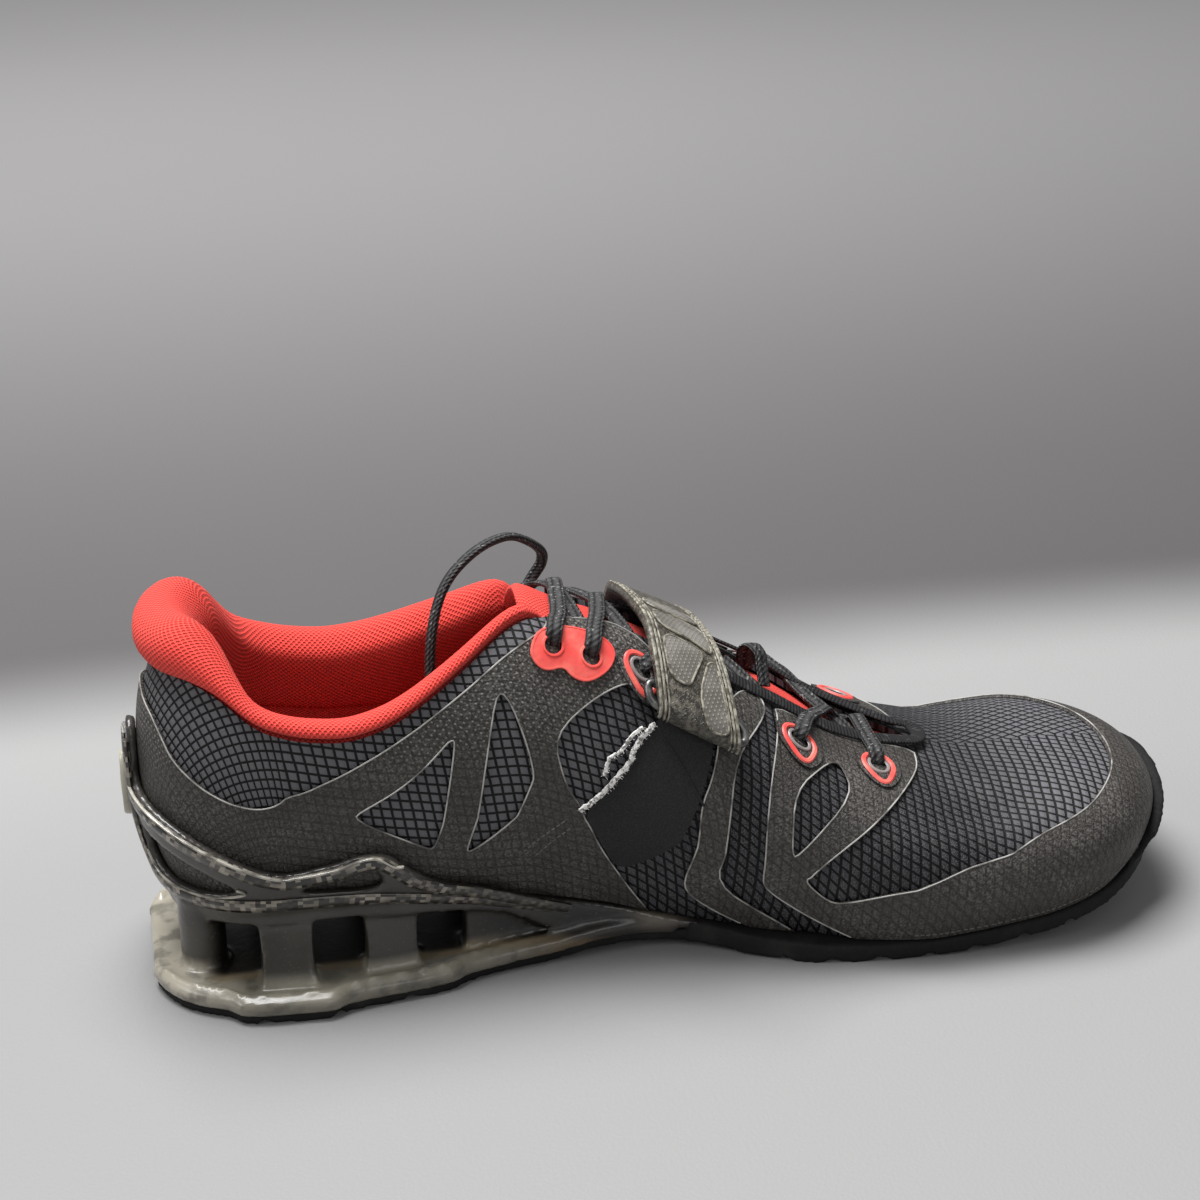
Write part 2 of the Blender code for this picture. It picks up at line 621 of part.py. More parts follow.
CAGE_LINE = [(0.10, 0.86), (0.25, 0.82), (0.40, 0.78), (0.67, 0.62), (0.87, 0.46), (1.00, 0.42),
             (1.05, 0.54), (1.10, 0.70), (1.135, 0.66), (1.155, 0.48), (1.20, 0.20), (1.28, 0.04),
             (1.40, -0.06)]
CAGE_POST = [(0.0, 1.36), (0.07, 1.30), (0.10, 1.10)]
CRESCENT = [(0.12, 0.52), (0.30, 0.50), (0.52, 0.40), (0.75, 0.20), (0.60, 0.12), (0.38, 0.10),
            (0.20, 0.14), (0.13, 0.28)]
TRIANGLE = [(0.99, 0.16), (1.05, 0.30), (1.09, 0.48), (1.118, 0.46), (1.122, 0.14)]
CAGE_FOOT = -0.26
BADGE_ON_POST = (0.45, 0.75, 1.10)

# Side columns of the truss: x from and to at the foot and at the head, shares of LENGTH.
COLUMNS_OF_TRUSS = (("foot_from", "foot_to", "head_from", "head_to"),
                    (0.101, 0.155, 0.098, 0.157),
                    (0.199, 0.253, 0.196, 0.256),
                    (0.294, 0.400, 0.292, 0.400))


def plate_bottom(x):
    return tread(x) + TREAD + GAP


def carrier_bottom(x):
    """Underside of the carrier, which runs down to the plate in front of the last column."""
    start, end = 0.33 * LENGTH, 0.43 * LENGTH
    high = feather(x) - CARRIER
    low = plate_bottom(x) + PLATE / 2
    if x <= start:
        return high
    if x >= end:
        return low
    t = (x - start) / (end - start)
    blend = t * t * (3 - 2 * t)
    return max(high * (1 - blend) + low * blend, low)


def build_truss(material, collection, cutters):
    """One moulding: foot plate, columns, carrier under the upper and cage round the heel."""
    end = LENGTH * TRUSS_END - 2 * GAP
    notches = (0.164, 0.178, 0.280, 0.296)
    bm = slab(stations(0.0010, end, notches), half_plan, PLATE_LIP,
              lambda x: min(plate_bottom(x) + PLATE, feather(x) - 2 * GAP), plate_bottom)
    truss = finish(bm, "heel_truss", material, collection)

    pieces = []
    start = LENGTH * HEEL_BACK + BALL_WIDTH * section("tuck_medial", 0) - CAGE
    bm = slab(stations(start + 0.0008, end - GAP), lambda side, x: max(
        half_upper(side, max(x, start)) + CAGE * 0.9, 0.004), 0.0,
        lambda x: feather(x) - GAP, carrier_bottom)
    carrier = scratch(bm, "carrier", cutters)

    line = CAGE_POST[1:] + CAGE_LINE + [(1.40, CAGE_FOOT)]
    outline = list(reversed(mirrored(line))) + [CAGE_POST[0]] + line
    windows = [CRESCENT, TRIANGLE, mirrored(CRESCENT), mirrored(TRIANGLE)]
    ribs = both_sides([along for along in RIBS if along < 1.40])
    bm = chart_cut(outline, windows, ribs, [0.0, 0.35, 0.7, 1.0, 1.15])
    raise_chart(bm, PATCH_SEAT, PATCH_SEAT + CAGE, skin)
    cage = scratch(bm, "cage", cutters)

    for foot_from, foot_to, head_from, head_to in COLUMNS_OF_TRUSS[1:]:
        for side in (-1, 1):
            bm = bmesh.new()
            bmesh.ops.create_cube(bm, size=1.0)
            for vert in bm.verts:
                head = vert.co.z > 0
                limits = (head_from, head_to) if head else (foot_from, foot_to)
                x = LENGTH * (limits[0] if vert.co.x < 0 else limits[1])
                edge = half_plan(side, x) if not head else half_upper(side, x) + CAGE
                inner = vert.co.y * side < 0
                reach = edge - COLUMN_REACH * (2.0 if not head else 0.4)
                reach -= COLUMN_REACH * 3 if inner else 0.0
                height = feather(x) - GAP * 4 if head else plate_bottom(x) + PLATE / 2
                vert.co = (x, side * reach + ridge_y(x / LENGTH), height)
            bmesh.ops.bevel(bm, geom=[edge for edge in bm.edges if abs(
                edge.verts[0].co.z - edge.verts[1].co.z) > PLATE], offset=0.0022, segments=1,
                profile=0.5, affect="EDGES", material=-1)
            pieces.append(scratch(bm, "column", cutters))
    for side in (-1, 1):
        x = 0.052 * LENGTH
        bottom, top = plate_bottom(x) + PLATE / 2, feather(x) - GAP * 4
        bm = bmesh.new()
        bmesh.ops.create_cone(bm, cap_ends=True, segments=16, radius1=REAR_COLUMN_RADIUS,
                              radius2=REAR_COLUMN_RADIUS, depth=top - bottom)
        bmesh.ops.translate(bm, verts=bm.verts, vec=(
            x, side * (half_upper(side, x) - REAR_COLUMN_RADIUS * 0.55), (top + bottom) / 2))
        pieces.append(scratch(bm, "rear_column", cutters))
    combine(truss, pieces, "UNION")
    combine(truss, [carrier], "UNION")
    combine(truss, [cage], "UNION")
    return truss


def build_badge(material, collection):
    """Plain oval button on the back post of the cage."""
    bm = bmesh.new()
    bmesh.ops.create_uvsphere(bm, u_segments=16, v_segments=8, radius=1.0)
    everything = bm.verts[:] + bm.edges[:] + bm.faces[:]
    bmesh.ops.bisect_plane(bm, geom=everything, dist=0.00001, plane_co=(0, 0, 0),
                           plane_no=(1, 0, 0), clear_outer=True)
    bmesh.ops.holes_fill(bm, edges=bm.edges, sides=0)
    seats = [skin(0.0, up, PATCH_SEAT + CAGE) for up in BADGE_ON_POST]
    back = min(seat.x for seat in seats) - GAP
    middle = (seats[0].z + seats[-1].z) / 2
    for vert in bm.verts:
        vert.co = (back + vert.co.x * BADGE_DEPTH, vert.co.y * BADGE_WIDTH / 2,
                   middle + vert.co.z * BADGE_LENGTH / 2)
    return finish(bm, "heel_badge", material, collection)


def build_insole(material, collection):
    """Removable footbed inside the upper's wall."""
    bm = chart_grid(both_sides(RIBS), (0.0, 0.6, 1.0))

    def seam(face):
        toe = all(abs(vert.co.x) > 2.999 for vert in face.verts)
        middle = all(vert.co.y < 0.001 for vert in face.verts)
        return toe or middle

    made = bmesh.ops.extrude_face_region(bm, geom=bm.faces[:])
    top = {item for item in made["geom"] if isinstance(item, bmesh.types.BMVert)}
    bmesh.ops.delete(bm, geom=[face for face in bm.faces if seam(face)], context="FACES")
    for vert in bm.verts:
        along, share = vert.co.x, vert.co.y
        origin = rib(along)[0]
        edge = skin(along, 0.0, -WALL - 2 * GAP)
        point = origin + (edge - origin) * share
        height = INSOLE if vert in top else 0.0
        vert.co = (point.x, point.y, feather(point.x) + height)
    bmesh.ops.remove_doubles(bm, verts=bm.verts, dist=0.00002)
    return finish(bm, "insole", material, collection)


def roll_height(along):
    """How far the padded collar stands over the upper's edge."""
    share = min(max((abs(along) - 0.30) / 0.55, 0.0), 1.0)
    blend = share * share * (3 - 2 * share)
    return HEEL_ROLL * (1 - blend) + SIDE_ROLL * blend


def collar_profile(along):
    """Closed outline of the padded collar in the rib's plane."""
    rim = skin(along, 2.0)
    tangent = (rim - skin(along, 1.9)).normalized()
    outwards = rib(along)[1]
    height = roll_height(along)
    share = min(max((height - SIDE_ROLL) / (HEEL_ROLL - SIDE_ROLL), 0.0), 1.0)
    climb = (tangent * (1 - share) + Vector((0, 0, 1)) * share).normalized()
    flare = (outwards - climb * outwards.dot(climb)).normalized()

    def over(up, out):
        return rim + climb * up + flare * out

    inner = WALL + GAP
    pad = LINING * (1 + 0.5 * share)
    return [
        *(skin(along, up, -inner) for up in ROWS if 1.1 < up < 2),
        skin(along, 2.0, -inner), skin(along, 2.0, -WALL) + climb * 3 * GAP, over(3 * GAP, 0.0),
        over(4 * GAP, 0.001 + 0.0015 * share),
        over(height * 0.4, 0.002 + 0.003 * share), over(height * 0.8, 0.0012 + 0.0022 * share),
        over(height, -0.3 * pad), over(height * 0.8, -0.8 * pad),
        over(0.1 * height, -inner - 0.95 * pad), skin(along, 1.6, -inner - pad * 0.75),
        skin(along, 1.2, -inner - pad * 0.3),
    ]


COLLAR_END = 1.331


def build_collar(material, collection):
    """Padded knit collar inside the upper's edge, with a high roll at the heel."""
    alongs = [along for along in both_sides(RIBS) if abs(along) < COLLAR_END - 0.02]
    alongs = [-COLLAR_END] + alongs + [COLLAR_END]
    bm = bmesh.new()
    rings = []
    for along in alongs:
        ring = [bm.verts.new(point) for point in collar_profile(along)]
        rings.append([bm.edges.new((a, b)) for a, b in zip(ring, ring[1:] + ring[:1])])
    for before, after in zip(rings, rings[1:]):
        bmesh.ops.bridge_loops(bm, edges=before + after)
    bmesh.ops.holes_fill(bm, edges=[edge for edge in bm.edges if edge.is_boundary], sides=0)
    return finish(bm, "collar_lining", material, collection)


TONGUE_ROWS = (1.4, 1.6, 1.78, 1.9, 2.0, 2.5)


def build_tongue(material, collection):
    """Padded tongue under the throat, its rows those of the upper over it."""
    alongs = [TONGUE_START] + [along for along in RIBS if TONGUE_START < along < TONGUE_END]
    alongs.append(TONGUE_END)
    rows = [-up for up in TONGUE_ROWS] + [3.0] + list(reversed(TONGUE_ROWS))

    def place(along, up, out):
        side = -1 if up < 0 else 1
        if abs(up) <= 2:
            return skin(side * along, abs(up), out)
        medial, lateral = (by_side("open", end * along, rib(along)[3]) for end in (-1, 1))
        share = (abs(up) - 2) / 2
        share = share if side < 0 else 1 - share
        return instep(along, medial + (180 - lateral - medial) * share, out)

    bm = chart_grid(alongs, rows)
    top = -WALL - TONGUE_SEAT
    raise_chart(bm, top - TONGUE, top, place)
    return finish(bm, "tongue", material, collection)


def band(path, width, thickness):
    """Flat strap swept along a path of (centre, direction across), closed at both ends."""
    bm = bmesh.new()
    rings = []
    for i, (centre, across) in enumerate(path):
        before, after = path[max(i - 1, 0)][0], path[min(i + 1, len(path) - 1)][0]
        side = across * width / 2
        lift = across.cross(after - before).normalized() * thickness / 2
        ring = [bm.verts.new(point) for point in (
            centre - side - lift, centre - lift, centre + side - lift,
            centre + side + lift, centre + lift, centre - side + lift)]
        rings.append([bm.edges.new((a, b)) for a, b in zip(ring, ring[1:] + ring[:1])])
    for before, after in zip(rings, rings[1:]):
        bmesh.ops.bridge_loops(bm, edges=before + after)
    bmesh.ops.holes_fill(bm, edges=[edge for edge in bm.edges if edge.is_boundary], sides=0)
    return bm


# The strap's middle line over the instep: turn in degrees from the medial side, out in metres.
STRAP_ALONG = 1.560
STRAP_BEND_UP = 1.555
STRAP_ARCH = ((60, 0.0080), (79, 0.0076), (100, 0.0062), (122, 0.0066), (140, 0.0080),
              (152, 0.0056), (164, 0.0037))
STRAP_STEPS = 14
BEND_STEPS = 6


def strap_bend():
    """Turn at which the strap is folded round the ring."""
    return (STRAP_BEND_UP - 1) * section("open_medial", rib(STRAP_ALONG)[3])


def strap_point(turn, out, forward=0.0):
    """Point over the instep at a turn from the medial side."""
    return instep(STRAP_ALONG + forward, turn, out)


def strap_across(turn):
    """Direction across the strap, along the foot."""
    reach = STRAP_WIDTH / 2 / (LENGTH * (TOE_PIVOT - HEEL_PIVOT))
    return (strap_point(turn, 0.0, reach) - strap_point(turn, 0.0, -reach)).normalized()


def ring_seat():
    """How far the ring's bar lies over the upper, inside the strap's fold."""
    return FILM_SEAT + PANEL + 2 * GAP + STRAP + GAP + RING_WIRE / 2


def build_strap(material, collection):
    """Instep strap: folded round the ring on the medial side, fixed on the lateral side."""
    bend = STRAP / 2 + GAP + RING_WIRE / 2
    start = strap_bend()
    rise = (strap_point(start + 1, 0.0) - strap_point(start, 0.0)).normalized()
    path = []
    for i in range(BEND_STEPS + 1):
        turn = math.pi * i / BEND_STEPS
        centre = strap_point(start, ring_seat() - bend * math.cos(turn))
        path.append((centre - rise * bend * math.sin(turn), strap_across(start)))
    arch = ((start, ring_seat() + bend),) + STRAP_ARCH
    for i in range(1, STRAP_STEPS + 1):
        turn = start + (STRAP_ARCH[-1][0] - start) * i / STRAP_STEPS
        path.append((strap_point(turn, smooth(arch, turn)), strap_across(turn)))
    bm = band(path, STRAP_WIDTH, STRAP)
    return finish(bm, "instep_strap", material, collection)


def tube(name, points, diameter, material, collection, cyclic=False, sides=2):
    """Round bar or cord on a poly spline, made a closed mesh."""
    curve = bpy.data.curves.new(name, "CURVE")
    curve.dimensions = "3D"
    curve.bevel_depth = diameter / 2
    curve.bevel_resolution = sides
    curve.use_fill_caps = True
    spline = curve.splines.new("POLY")
    spline.points.add(len(points) - 1)
    for knot, point in zip(spline.points, points):
        knot.co = (*point, 1.0)
    spline.use_cyclic_u = cyclic
    guide = bpy.data.objects.new(name, curve)
    bpy.context.scene.collection.objects.link(guide)
    bpy.context.view_layer.update()
    depsgraph = bpy.context.evaluated_depsgraph_get()
    mesh = bpy.data.meshes.new_from_object(guide.evaluated_get(depsgraph))
    bpy.data.objects.remove(guide)
    bm = bmesh.new()
    bm.from_mesh(mesh)
    bpy.data.meshes.remove(mesh)
    bmesh.ops.remove_doubles(bm, verts=bm.verts, dist=0.00001)
    return finish(bm, name, material, collection)


RING_TURN = 8


def build_ring(material, collection):
    """Wire loop: one bar lies in the strap's fold, the other under the strap."""
    start = strap_bend()
    lean = strap_across(start)
    bar = strap_point(start, ring_seat())
    away = strap_point(start + RING_TURN, PATCH_SEAT + EYELET + 3 * GAP + RING_WIRE / 2) - bar
    half, depth, corner = STRAP_WIDTH / 2 + RING_WIRE, away.length, RING_WIRE
    away.normalize()
    points = []
    for x_side, far, first in ((1, 0, -90), (1, 1, 0), (-1, 1, 90), (-1, 0, 180)):
        for i in range(4):
            turn = math.radians(first + 30 * i)
            across = x_side * (half - corner) + corner * math.cos(turn)
            reach = (depth - corner if far else corner) + corner * math.sin(turn)
            points.append(bar + lean * across + away * reach)
    return tube("strap_ring", points, RING_WIRE, material, collection, cyclic=True)


LACE_PAST = 0.005
LACE_OVER_TONGUE = -0.0010


def lace_run(side, rear, front):
    """Points of a lace from a rear eyelet on one side to the next one on the other."""
    places = ((side, rear[1] - LACE_PAST, rear[2]), (-side, front[1] + LACE_PAST, front[2]))
    turns = []
    edges = []
    for end, along, up in places:
        opening = by_side("open", end * along, rib(end * along)[3])
        turns.append((up - 1) * opening if end < 0 else 180 - (up - 1) * opening)
        edges.append(opening if end < 0 else 180 - opening)
    high = PATCH_SEAT + EYELET + 1.5 * GAP + LACE / 2
    edge = FILM_SEAT + FILM + 2 * GAP + LACE / 2
    middle = sum(edges) / 2
    stops = ((turns[0], high), ((turns[0] + edges[0]) / 2, high), (edges[0], edge),
             (middle, LACE_OVER_TONGUE), (edges[1], edge),
             ((turns[1] + edges[1]) / 2, high), (turns[1], high))
    points = []
    for turn, out in stops:
        share = (turn - turns[0]) / (turns[1] - turns[0])
        along = places[0][1] + (places[1][1] - places[0][1]) * share
        points.append(instep(along, turn, out))
    return points


def build_lace(material, collection, cutters):
    """Crossed lace over the tongue, joined where it crosses."""
    runs = [tube("lace_crossings", lace_run(side, rear, front), LACE, material, cutters, sides=1)
            for rear, front in zip(EYELET_ROWS, EYELET_ROWS[1:]) for side in (-1, 1)]
    joined = runs[0]
    combine(joined, runs[1:], "UNION")
    cutters.objects.unlink(joined)
    collection.objects.link(joined)
    return joined


# Route of the loose lace in metres from the back of the shoe, chosen by hand: from the lateral
# top eyelet over the collar and down to the insole.
LOOSE_ROUTE = (
    (0.1185, 0.0420, 0.0890), (0.1215, 0.0390, 0.0960), (0.1190, 0.0335, 0.1030),
    (0.1125, 0.0280, 0.1080), (0.1055, 0.0240, 0.1090), (0.0985, 0.0200, 0.1070),
    (0.0920, 0.0160, 0.1025), (0.0880, 0.0130, 0.0960), (0.0855, 0.0100, 0.0870),
    (0.0845, 0.0080, 0.0760), (0.0840, 0.0060, 0.0600), (0.0845, 0.0040, 0.0450),
    (0.0880, 0.0010, 0.0365), (0.0950, -0.0030, 0.0325), (0.1030, -0.0060, 0.0305),
)
LOOSE_STEPS = 2


def build_loose_lace(material, collection):
    """Loose lace on a smooth curve through its route."""
    points = []
    knots = [Vector(point) for point in LOOSE_ROUTE]
    for i, (a, b) in enumerate(zip(knots, knots[1:])):
        before, after = knots[max(i - 1, 0)], knots[min(i + 2, len(knots) - 1)]
        for j in range(LOOSE_STEPS):
            t = j / LOOSE_STEPS
            points.append(((2 * a) + (b - before) * t + (2 * before - 5 * a + 4 * b - after) * t * t
                           + (3 * a - before - 3 * b + after) * t ** 3) / 2)
    points.append(knots[-1])
    return tube("lace_loop", points, LOOSE_LACE, material, collection)


def main():
    for obj in list(bpy.data.objects):
        bpy.data.objects.remove(obj)
    shoe = new_collection("weightlifting_shoe")
    cutters = new_collection("cutters")
    rubber = new_material("rubber", (0.02, 0.02, 0.02), 0.7)
    moulding = new_material("moulding", (0.16, 0.15, 0.12), 0.35)
    button = new_material("button", (0.45, 0.43, 0.34), 0.3)
    ripstop = new_material("ripstop", (0.03, 0.035, 0.045), 0.75)
    film = new_material("film", (0.06, 0.055, 0.05), 0.45)
    webbing = new_material("webbing", (0.02, 0.02, 0.022), 0.8)
    knit = new_material("knit", (0.85, 0.10, 0.07), 0.9)
    coral = new_material("coral", (0.85, 0.16, 0.12), 0.5)
    footbed = new_material("footbed", (0.35, 0.03, 0.03), 0.9)
    strapping = new_material("strapping", (0.08, 0.08, 0.06), 0.5)
    wire = new_material("wire", (0.35, 0.35, 0.35), 0.35, 1.0)
    braid = new_material("braid", (0.015, 0.015, 0.016), 0.85)

    build_outsole(rubber, shoe, cutters)
    build_truss(moulding, shoe, cutters)
    build_badge(button, shoe)
    build_upper(ripstop, shoe)
    build_films(film, shoe)
    build_anchor_panels(webbing, shoe)
    build_eyelets(coral, shoe)
    build_collar(knit, shoe)
    build_tongue(knit, shoe)
    build_insole(footbed, shoe)
    build_strap(strapping, shoe)
    build_ring(wire, shoe)
    build_lace(braid, shoe, cutters)
    build_loose_lace(braid, shoe)
    for obj in shoe.objects:
        obj.data.transform(Matrix.Translation((-LENGTH * HEEL_PIVOT, 0.0, 0.0)))


main()
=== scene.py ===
"""Weightlifting shoe for the left foot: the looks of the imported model.

Frame in metres: +X to the toe, +Y to the lateral side, +Z up. The pieces are worked out with x from
the back of the shoe, and set_piece moves them on to the frame's origin under the heel pivot.
"""
import math
import random
from functools import lru_cache

import bmesh
import bpy
from mathutils import Matrix, Vector


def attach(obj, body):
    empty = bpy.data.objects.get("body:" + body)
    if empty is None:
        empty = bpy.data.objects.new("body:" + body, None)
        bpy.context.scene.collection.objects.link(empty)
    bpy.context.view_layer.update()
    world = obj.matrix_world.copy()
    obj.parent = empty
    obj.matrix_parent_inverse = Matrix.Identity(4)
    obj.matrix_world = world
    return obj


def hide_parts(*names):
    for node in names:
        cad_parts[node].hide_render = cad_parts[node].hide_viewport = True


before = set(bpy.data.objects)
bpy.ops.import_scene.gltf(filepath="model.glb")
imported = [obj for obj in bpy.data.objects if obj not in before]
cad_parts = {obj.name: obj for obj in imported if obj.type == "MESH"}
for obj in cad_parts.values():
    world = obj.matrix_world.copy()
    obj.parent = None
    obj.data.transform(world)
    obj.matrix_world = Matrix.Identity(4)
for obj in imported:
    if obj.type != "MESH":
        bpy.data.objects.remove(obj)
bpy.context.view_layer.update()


# The table is pale painted board that runs back into a darker grey. Its colour also holds painted
# light: it is painted darker on the left, where the lamps fall strongest, and paler far back, where
# their light falls off. Large soft lamps hang over it, the strongest at the back on the left, so the
# shoe's shadow lies in front of the toe.
class Number:
    """A socket of a material, with the sums that Math nodes do."""

    def __init__(self, finish, socket):
        self.finish = finish
        self.socket = socket

    def math(self, operation, *others):
        return self.finish.node("ShaderNodeMath", {"operation": operation}, (self, *others))

    def __add__(self, other):
        return self.math("ADD", other)

    def __sub__(self, other):
        return self.math("SUBTRACT", other)

    def __rsub__(self, other):
        return self.math("MULTIPLY", -1.0).math("ADD", other)

    def __mul__(self, other):
        return self.math("MULTIPLY", other)

    def __truediv__(self, other):
        return self.math("DIVIDE", other)

    def __pow__(self, other):
        return self.math("POWER", other)

    __radd__ = __add__
    __rmul__ = __mul__


class Finish:
    """The material of a piece, and the nodes that vary it over the surface."""

    def __init__(self, name, colour, roughness, **shader):
        self.material = bpy.data.materials.new(name)
        self.material.use_nodes = True
        self.tree = self.material.node_tree
        self.shader = self.tree.nodes["Principled BSDF"]
        self.put("Base Color", colour)
        self.put("Roughness", roughness)
        for socket, value in shader.items():
            self.put(socket.replace("_", " "), value)

    def fill(self, socket, value):
        if isinstance(value, Number):
            self.tree.links.new(value.socket, socket)
        elif socket.type == "RGBA":
            socket.default_value = (*value, 1.0)
        else:
            socket.default_value = value

    def put(self, name, value):
        self.fill(self.shader.inputs[name], value)

    def node(self, kind, settings, values, output=0):
        """Any node: settings first, then its sockets' values or links, by order or by name."""
        node = self.tree.nodes.new(kind)
        for name, value in settings.items():
            setattr(node, name, value)
        for key, value in values.items() if isinstance(values, dict) else enumerate(values):
            self.fill(node.inputs[key], value)
        return Number(self, node.outputs[output])

    def place(self):
        return self.node("ShaderNodeTexCoord", {}, (), "Object")

    def cloth(self):
        return self.node("ShaderNodeUVMap", {"uv_map": "UVMap"}, ())

    def parts(self, vector):
        node = self.node("ShaderNodeSeparateXYZ", {}, (vector,)).socket.node
        return [Number(self, output) for output in node.outputs]

    def noise(self, scale, detail=3.0, vector=None):
        return self.node("ShaderNodeTexNoise", {}, {
            "Vector": vector or self.place(), "Scale": scale, "Detail": detail})

    def patches(self, low, high, scale, detail=3.0):
        """Noise in soft patches: 0 under the low value and 1 over the high one."""
        return self.step(self.noise(scale, detail), low, high)

    def step(self, value, low, high):
        return self.node("ShaderNodeMapRange", {"interpolation_type": "SMOOTHSTEP"},
                         (value, low, high, 0.0, 1.0))

    def line(self, value, pitch, width):
        """1 on lines of a width, a pitch apart, and 0 between them."""
        off = value.math("PINGPONG", pitch / 2)
        return self.step(off, width * 0.7, width * 0.3)

    def mix(self, factor, first, second):
        return self.node("ShaderNodeMix", {"data_type": "RGBA"}, {0: factor, 6: first, 7: second},
                         2)

    def paint(self, factor, first, second):
        self.put("Base Color", self.mix(factor, first, second))

    def emboss(self, height, distance):
        """Bump of a height from 0 to 1, times a distance in metres."""
        self.put("Normal", self.node("ShaderNodeBump", {}, {
            "Height": height, "Distance": distance, "Strength": 1.0}))


def note_places(bm):
    """UV map that remembers where each point lay on the flat mesh."""
    uv = bm.loops.layers.uv.new("UVMap")
    for face in bm.faces:
        for loop in face.loops:
            loop[uv].uv = loop.vert.co.xy


def lay_out(columns, rows):
    """Flat grid through the columns and rows, which its UV map remembers."""
    bm = bmesh.new()
    bmesh.ops.create_grid(bm, x_segments=len(columns) - 1, y_segments=len(rows) - 1, size=0.5)
    for vert in bm.verts:
        column = round((vert.co.x + 0.5) * (len(columns) - 1))
        row = round((vert.co.y + 0.5) * (len(rows) - 1))
        vert.co = (columns[column], rows[row], 0)
    note_places(bm)
    return bm


def evenly(low, high, count):
    return [low + (high - low) * i / count for i in range(count + 1)]


TABLE_HALF = 6.0
table = lay_out([-TABLE_HALF, TABLE_HALF], [-TABLE_HALF, TABLE_HALF])
table_mesh = bpy.data.meshes.new("table")
table.to_mesh(table_mesh)
table_top = bpy.data.objects.new("table", table_mesh)
bpy.context.scene.collection.objects.link(table_top)
board = Finish("table_board", (0.4, 0.4, 0.4), 0.6)
across, depth, _ = board.parts(board.place())
cloud = board.noise(3.0)
turned = depth + (cloud - 0.5) * 0.04
back = board.step(turned, 0.120, 0.205)
# Paler towards the far back: painted light where the lamps' light falls off.
far = board.step(depth, 0.15, 1.1)
# Darker on the left, where the lamps fall strongest: painted shade that evens out the floor.
painted_shade_across = board.step(across, -0.35, 0.45)
tone = board.mix(painted_shade_across, (0.245, 0.243, 0.244), (0.320, 0.318, 0.318))
tone = board.mix(board.step(turned, 0.02, 0.14) * 0.6, tone, (0.335, 0.333, 0.331))
tone = board.mix(back, tone, board.mix(far, (0.078, 0.074, 0.074), (0.390, 0.381, 0.384)))
board.paint(cloud * 0.12, tone, (0.2, 0.2, 0.2))
board.emboss(board.noise(900.0, 2.0), 0.0001)
table_mesh.materials.append(board.material)

for name, place, aim, width, power in (
        ("overhead", (-0.12, 0.22, 1.25), (0.05, 0.0, 0.03), 0.75, 31.0),
        ("left", (-1.1, -0.3, 0.9), (0.0, 0.0, 0.04), 0.6, 4.5),
        ("front", (0.4, -1.3, 0.9), (0.1, 0.0, 0.04), 0.7, 2.6)):
    lamp = bpy.data.lights.new(name, "AREA")
    lamp.shape = "SQUARE"
    lamp.size = width
    lamp.energy = power
    holder = bpy.data.objects.new(name, lamp)
    holder.location = place
    holder.rotation_euler = (Vector(aim) - Vector(place)).to_track_quat("-Z", "Y").to_euler()
    bpy.context.scene.collection.objects.link(holder)
world = bpy.data.worlds.new("room")
world.use_nodes = True
world.node_tree.nodes["Background"].inputs["Color"].default_value = (0.9, 0.89, 0.89, 1.0)
world.node_tree.nodes["Background"].inputs["Strength"].default_value = 0.26
bpy.context.scene.world = world
bpy.context.scene.view_settings.view_transform = "Standard"

eye = Vector((-0.0285, -0.6424, 0.408))
yaw, pitch, roll = math.radians(10.6), math.radians(25.3), math.radians(-0.7)
forward = Vector((math.sin(yaw) * math.cos(pitch), math.cos(yaw) * math.cos(pitch),
                  -math.sin(pitch)))
level = Vector((math.cos(yaw), -math.sin(yaw), 0.0))
above = level.cross(forward)
right = level * math.cos(roll) + above * math.sin(roll)
above = above * math.cos(roll) - level * math.sin(roll)
camera = bpy.data.cameras.new("camera")
camera.sensor_width = 36.0
camera.lens = 78.15
camera_holder = bpy.data.objects.new("camera", camera)
camera_holder.matrix_world = Matrix((
    (right.x, above.x, -forward.x, eye.x), (right.y, above.y, -forward.y, eye.y),
    (right.z, above.z, -forward.z, eye.z), (0.0, 0.0, 0.0, 1.0)))
bpy.context.scene.collection.objects.link(camera_holder)
bpy.context.scene.camera = camera_holder


# The loose end of the lace is a flat-oval polyester braid, black with white flecks. It leaves the
# lateral top eyelet, loops over the collar and hangs down to the footbed, where its tip lies.
BACK = 0.04012
LOOSE_WIDTH = 0.0034
LOOSE_DEPTH = 0.0024
LOOSE_ROUTE = (
    (0.1150, 0.0352, 0.0812), (0.1160, 0.0392, 0.0838), (0.1192, 0.0410, 0.0885),
    (0.1220, 0.0392, 0.0945), (0.1205, 0.0355, 0.1005),
    (0.1125, 0.0280, 0.1080), (0.1055, 0.0240, 0.1090), (0.0985, 0.0200, 0.1070),
    (0.0920, 0.0160, 0.1025), (0.0880, 0.0130, 0.0960), (0.0855, 0.0100, 0.0870),
    (0.0845, 0.0080, 0.0760), (0.0840, 0.0060, 0.0600), (0.0845, 0.0040, 0.0450),
    (0.0880, 0.0010, 0.0365), (0.0950, -0.0030, 0.0325), (0.1030, -0.0060, 0.0305),
)
TIP_LENGTH = 0.012
TIP_WIDTH = 0.0026
TIP_SEAT = 0.002
BRAID_STITCH = 0.0016
BRAID_RIBS = 7.0


def through(knots, steps, closed=False):
    """Smooth curve through the knots, with so many steps between each two."""
    knots = [Vector(knot) for knot in knots]
    count = len(knots)
    points = []
    for i in range(count if closed else count - 1):
        before, a, b, after = (
            knots[(i + j) % count if closed else min(max(i + j, 0), count - 1)] for j in (-1, 0, 1, 2))
        for j in range(steps):
            t = j / steps
            points.append(((2 * a) + (b - before) * t + (2 * before - 5 * a + 4 * b - after) * t * t
                           + (3 * a - before - 3 * b + after) * t ** 3) / 2)
    return points if closed else points + [knots[-1]]


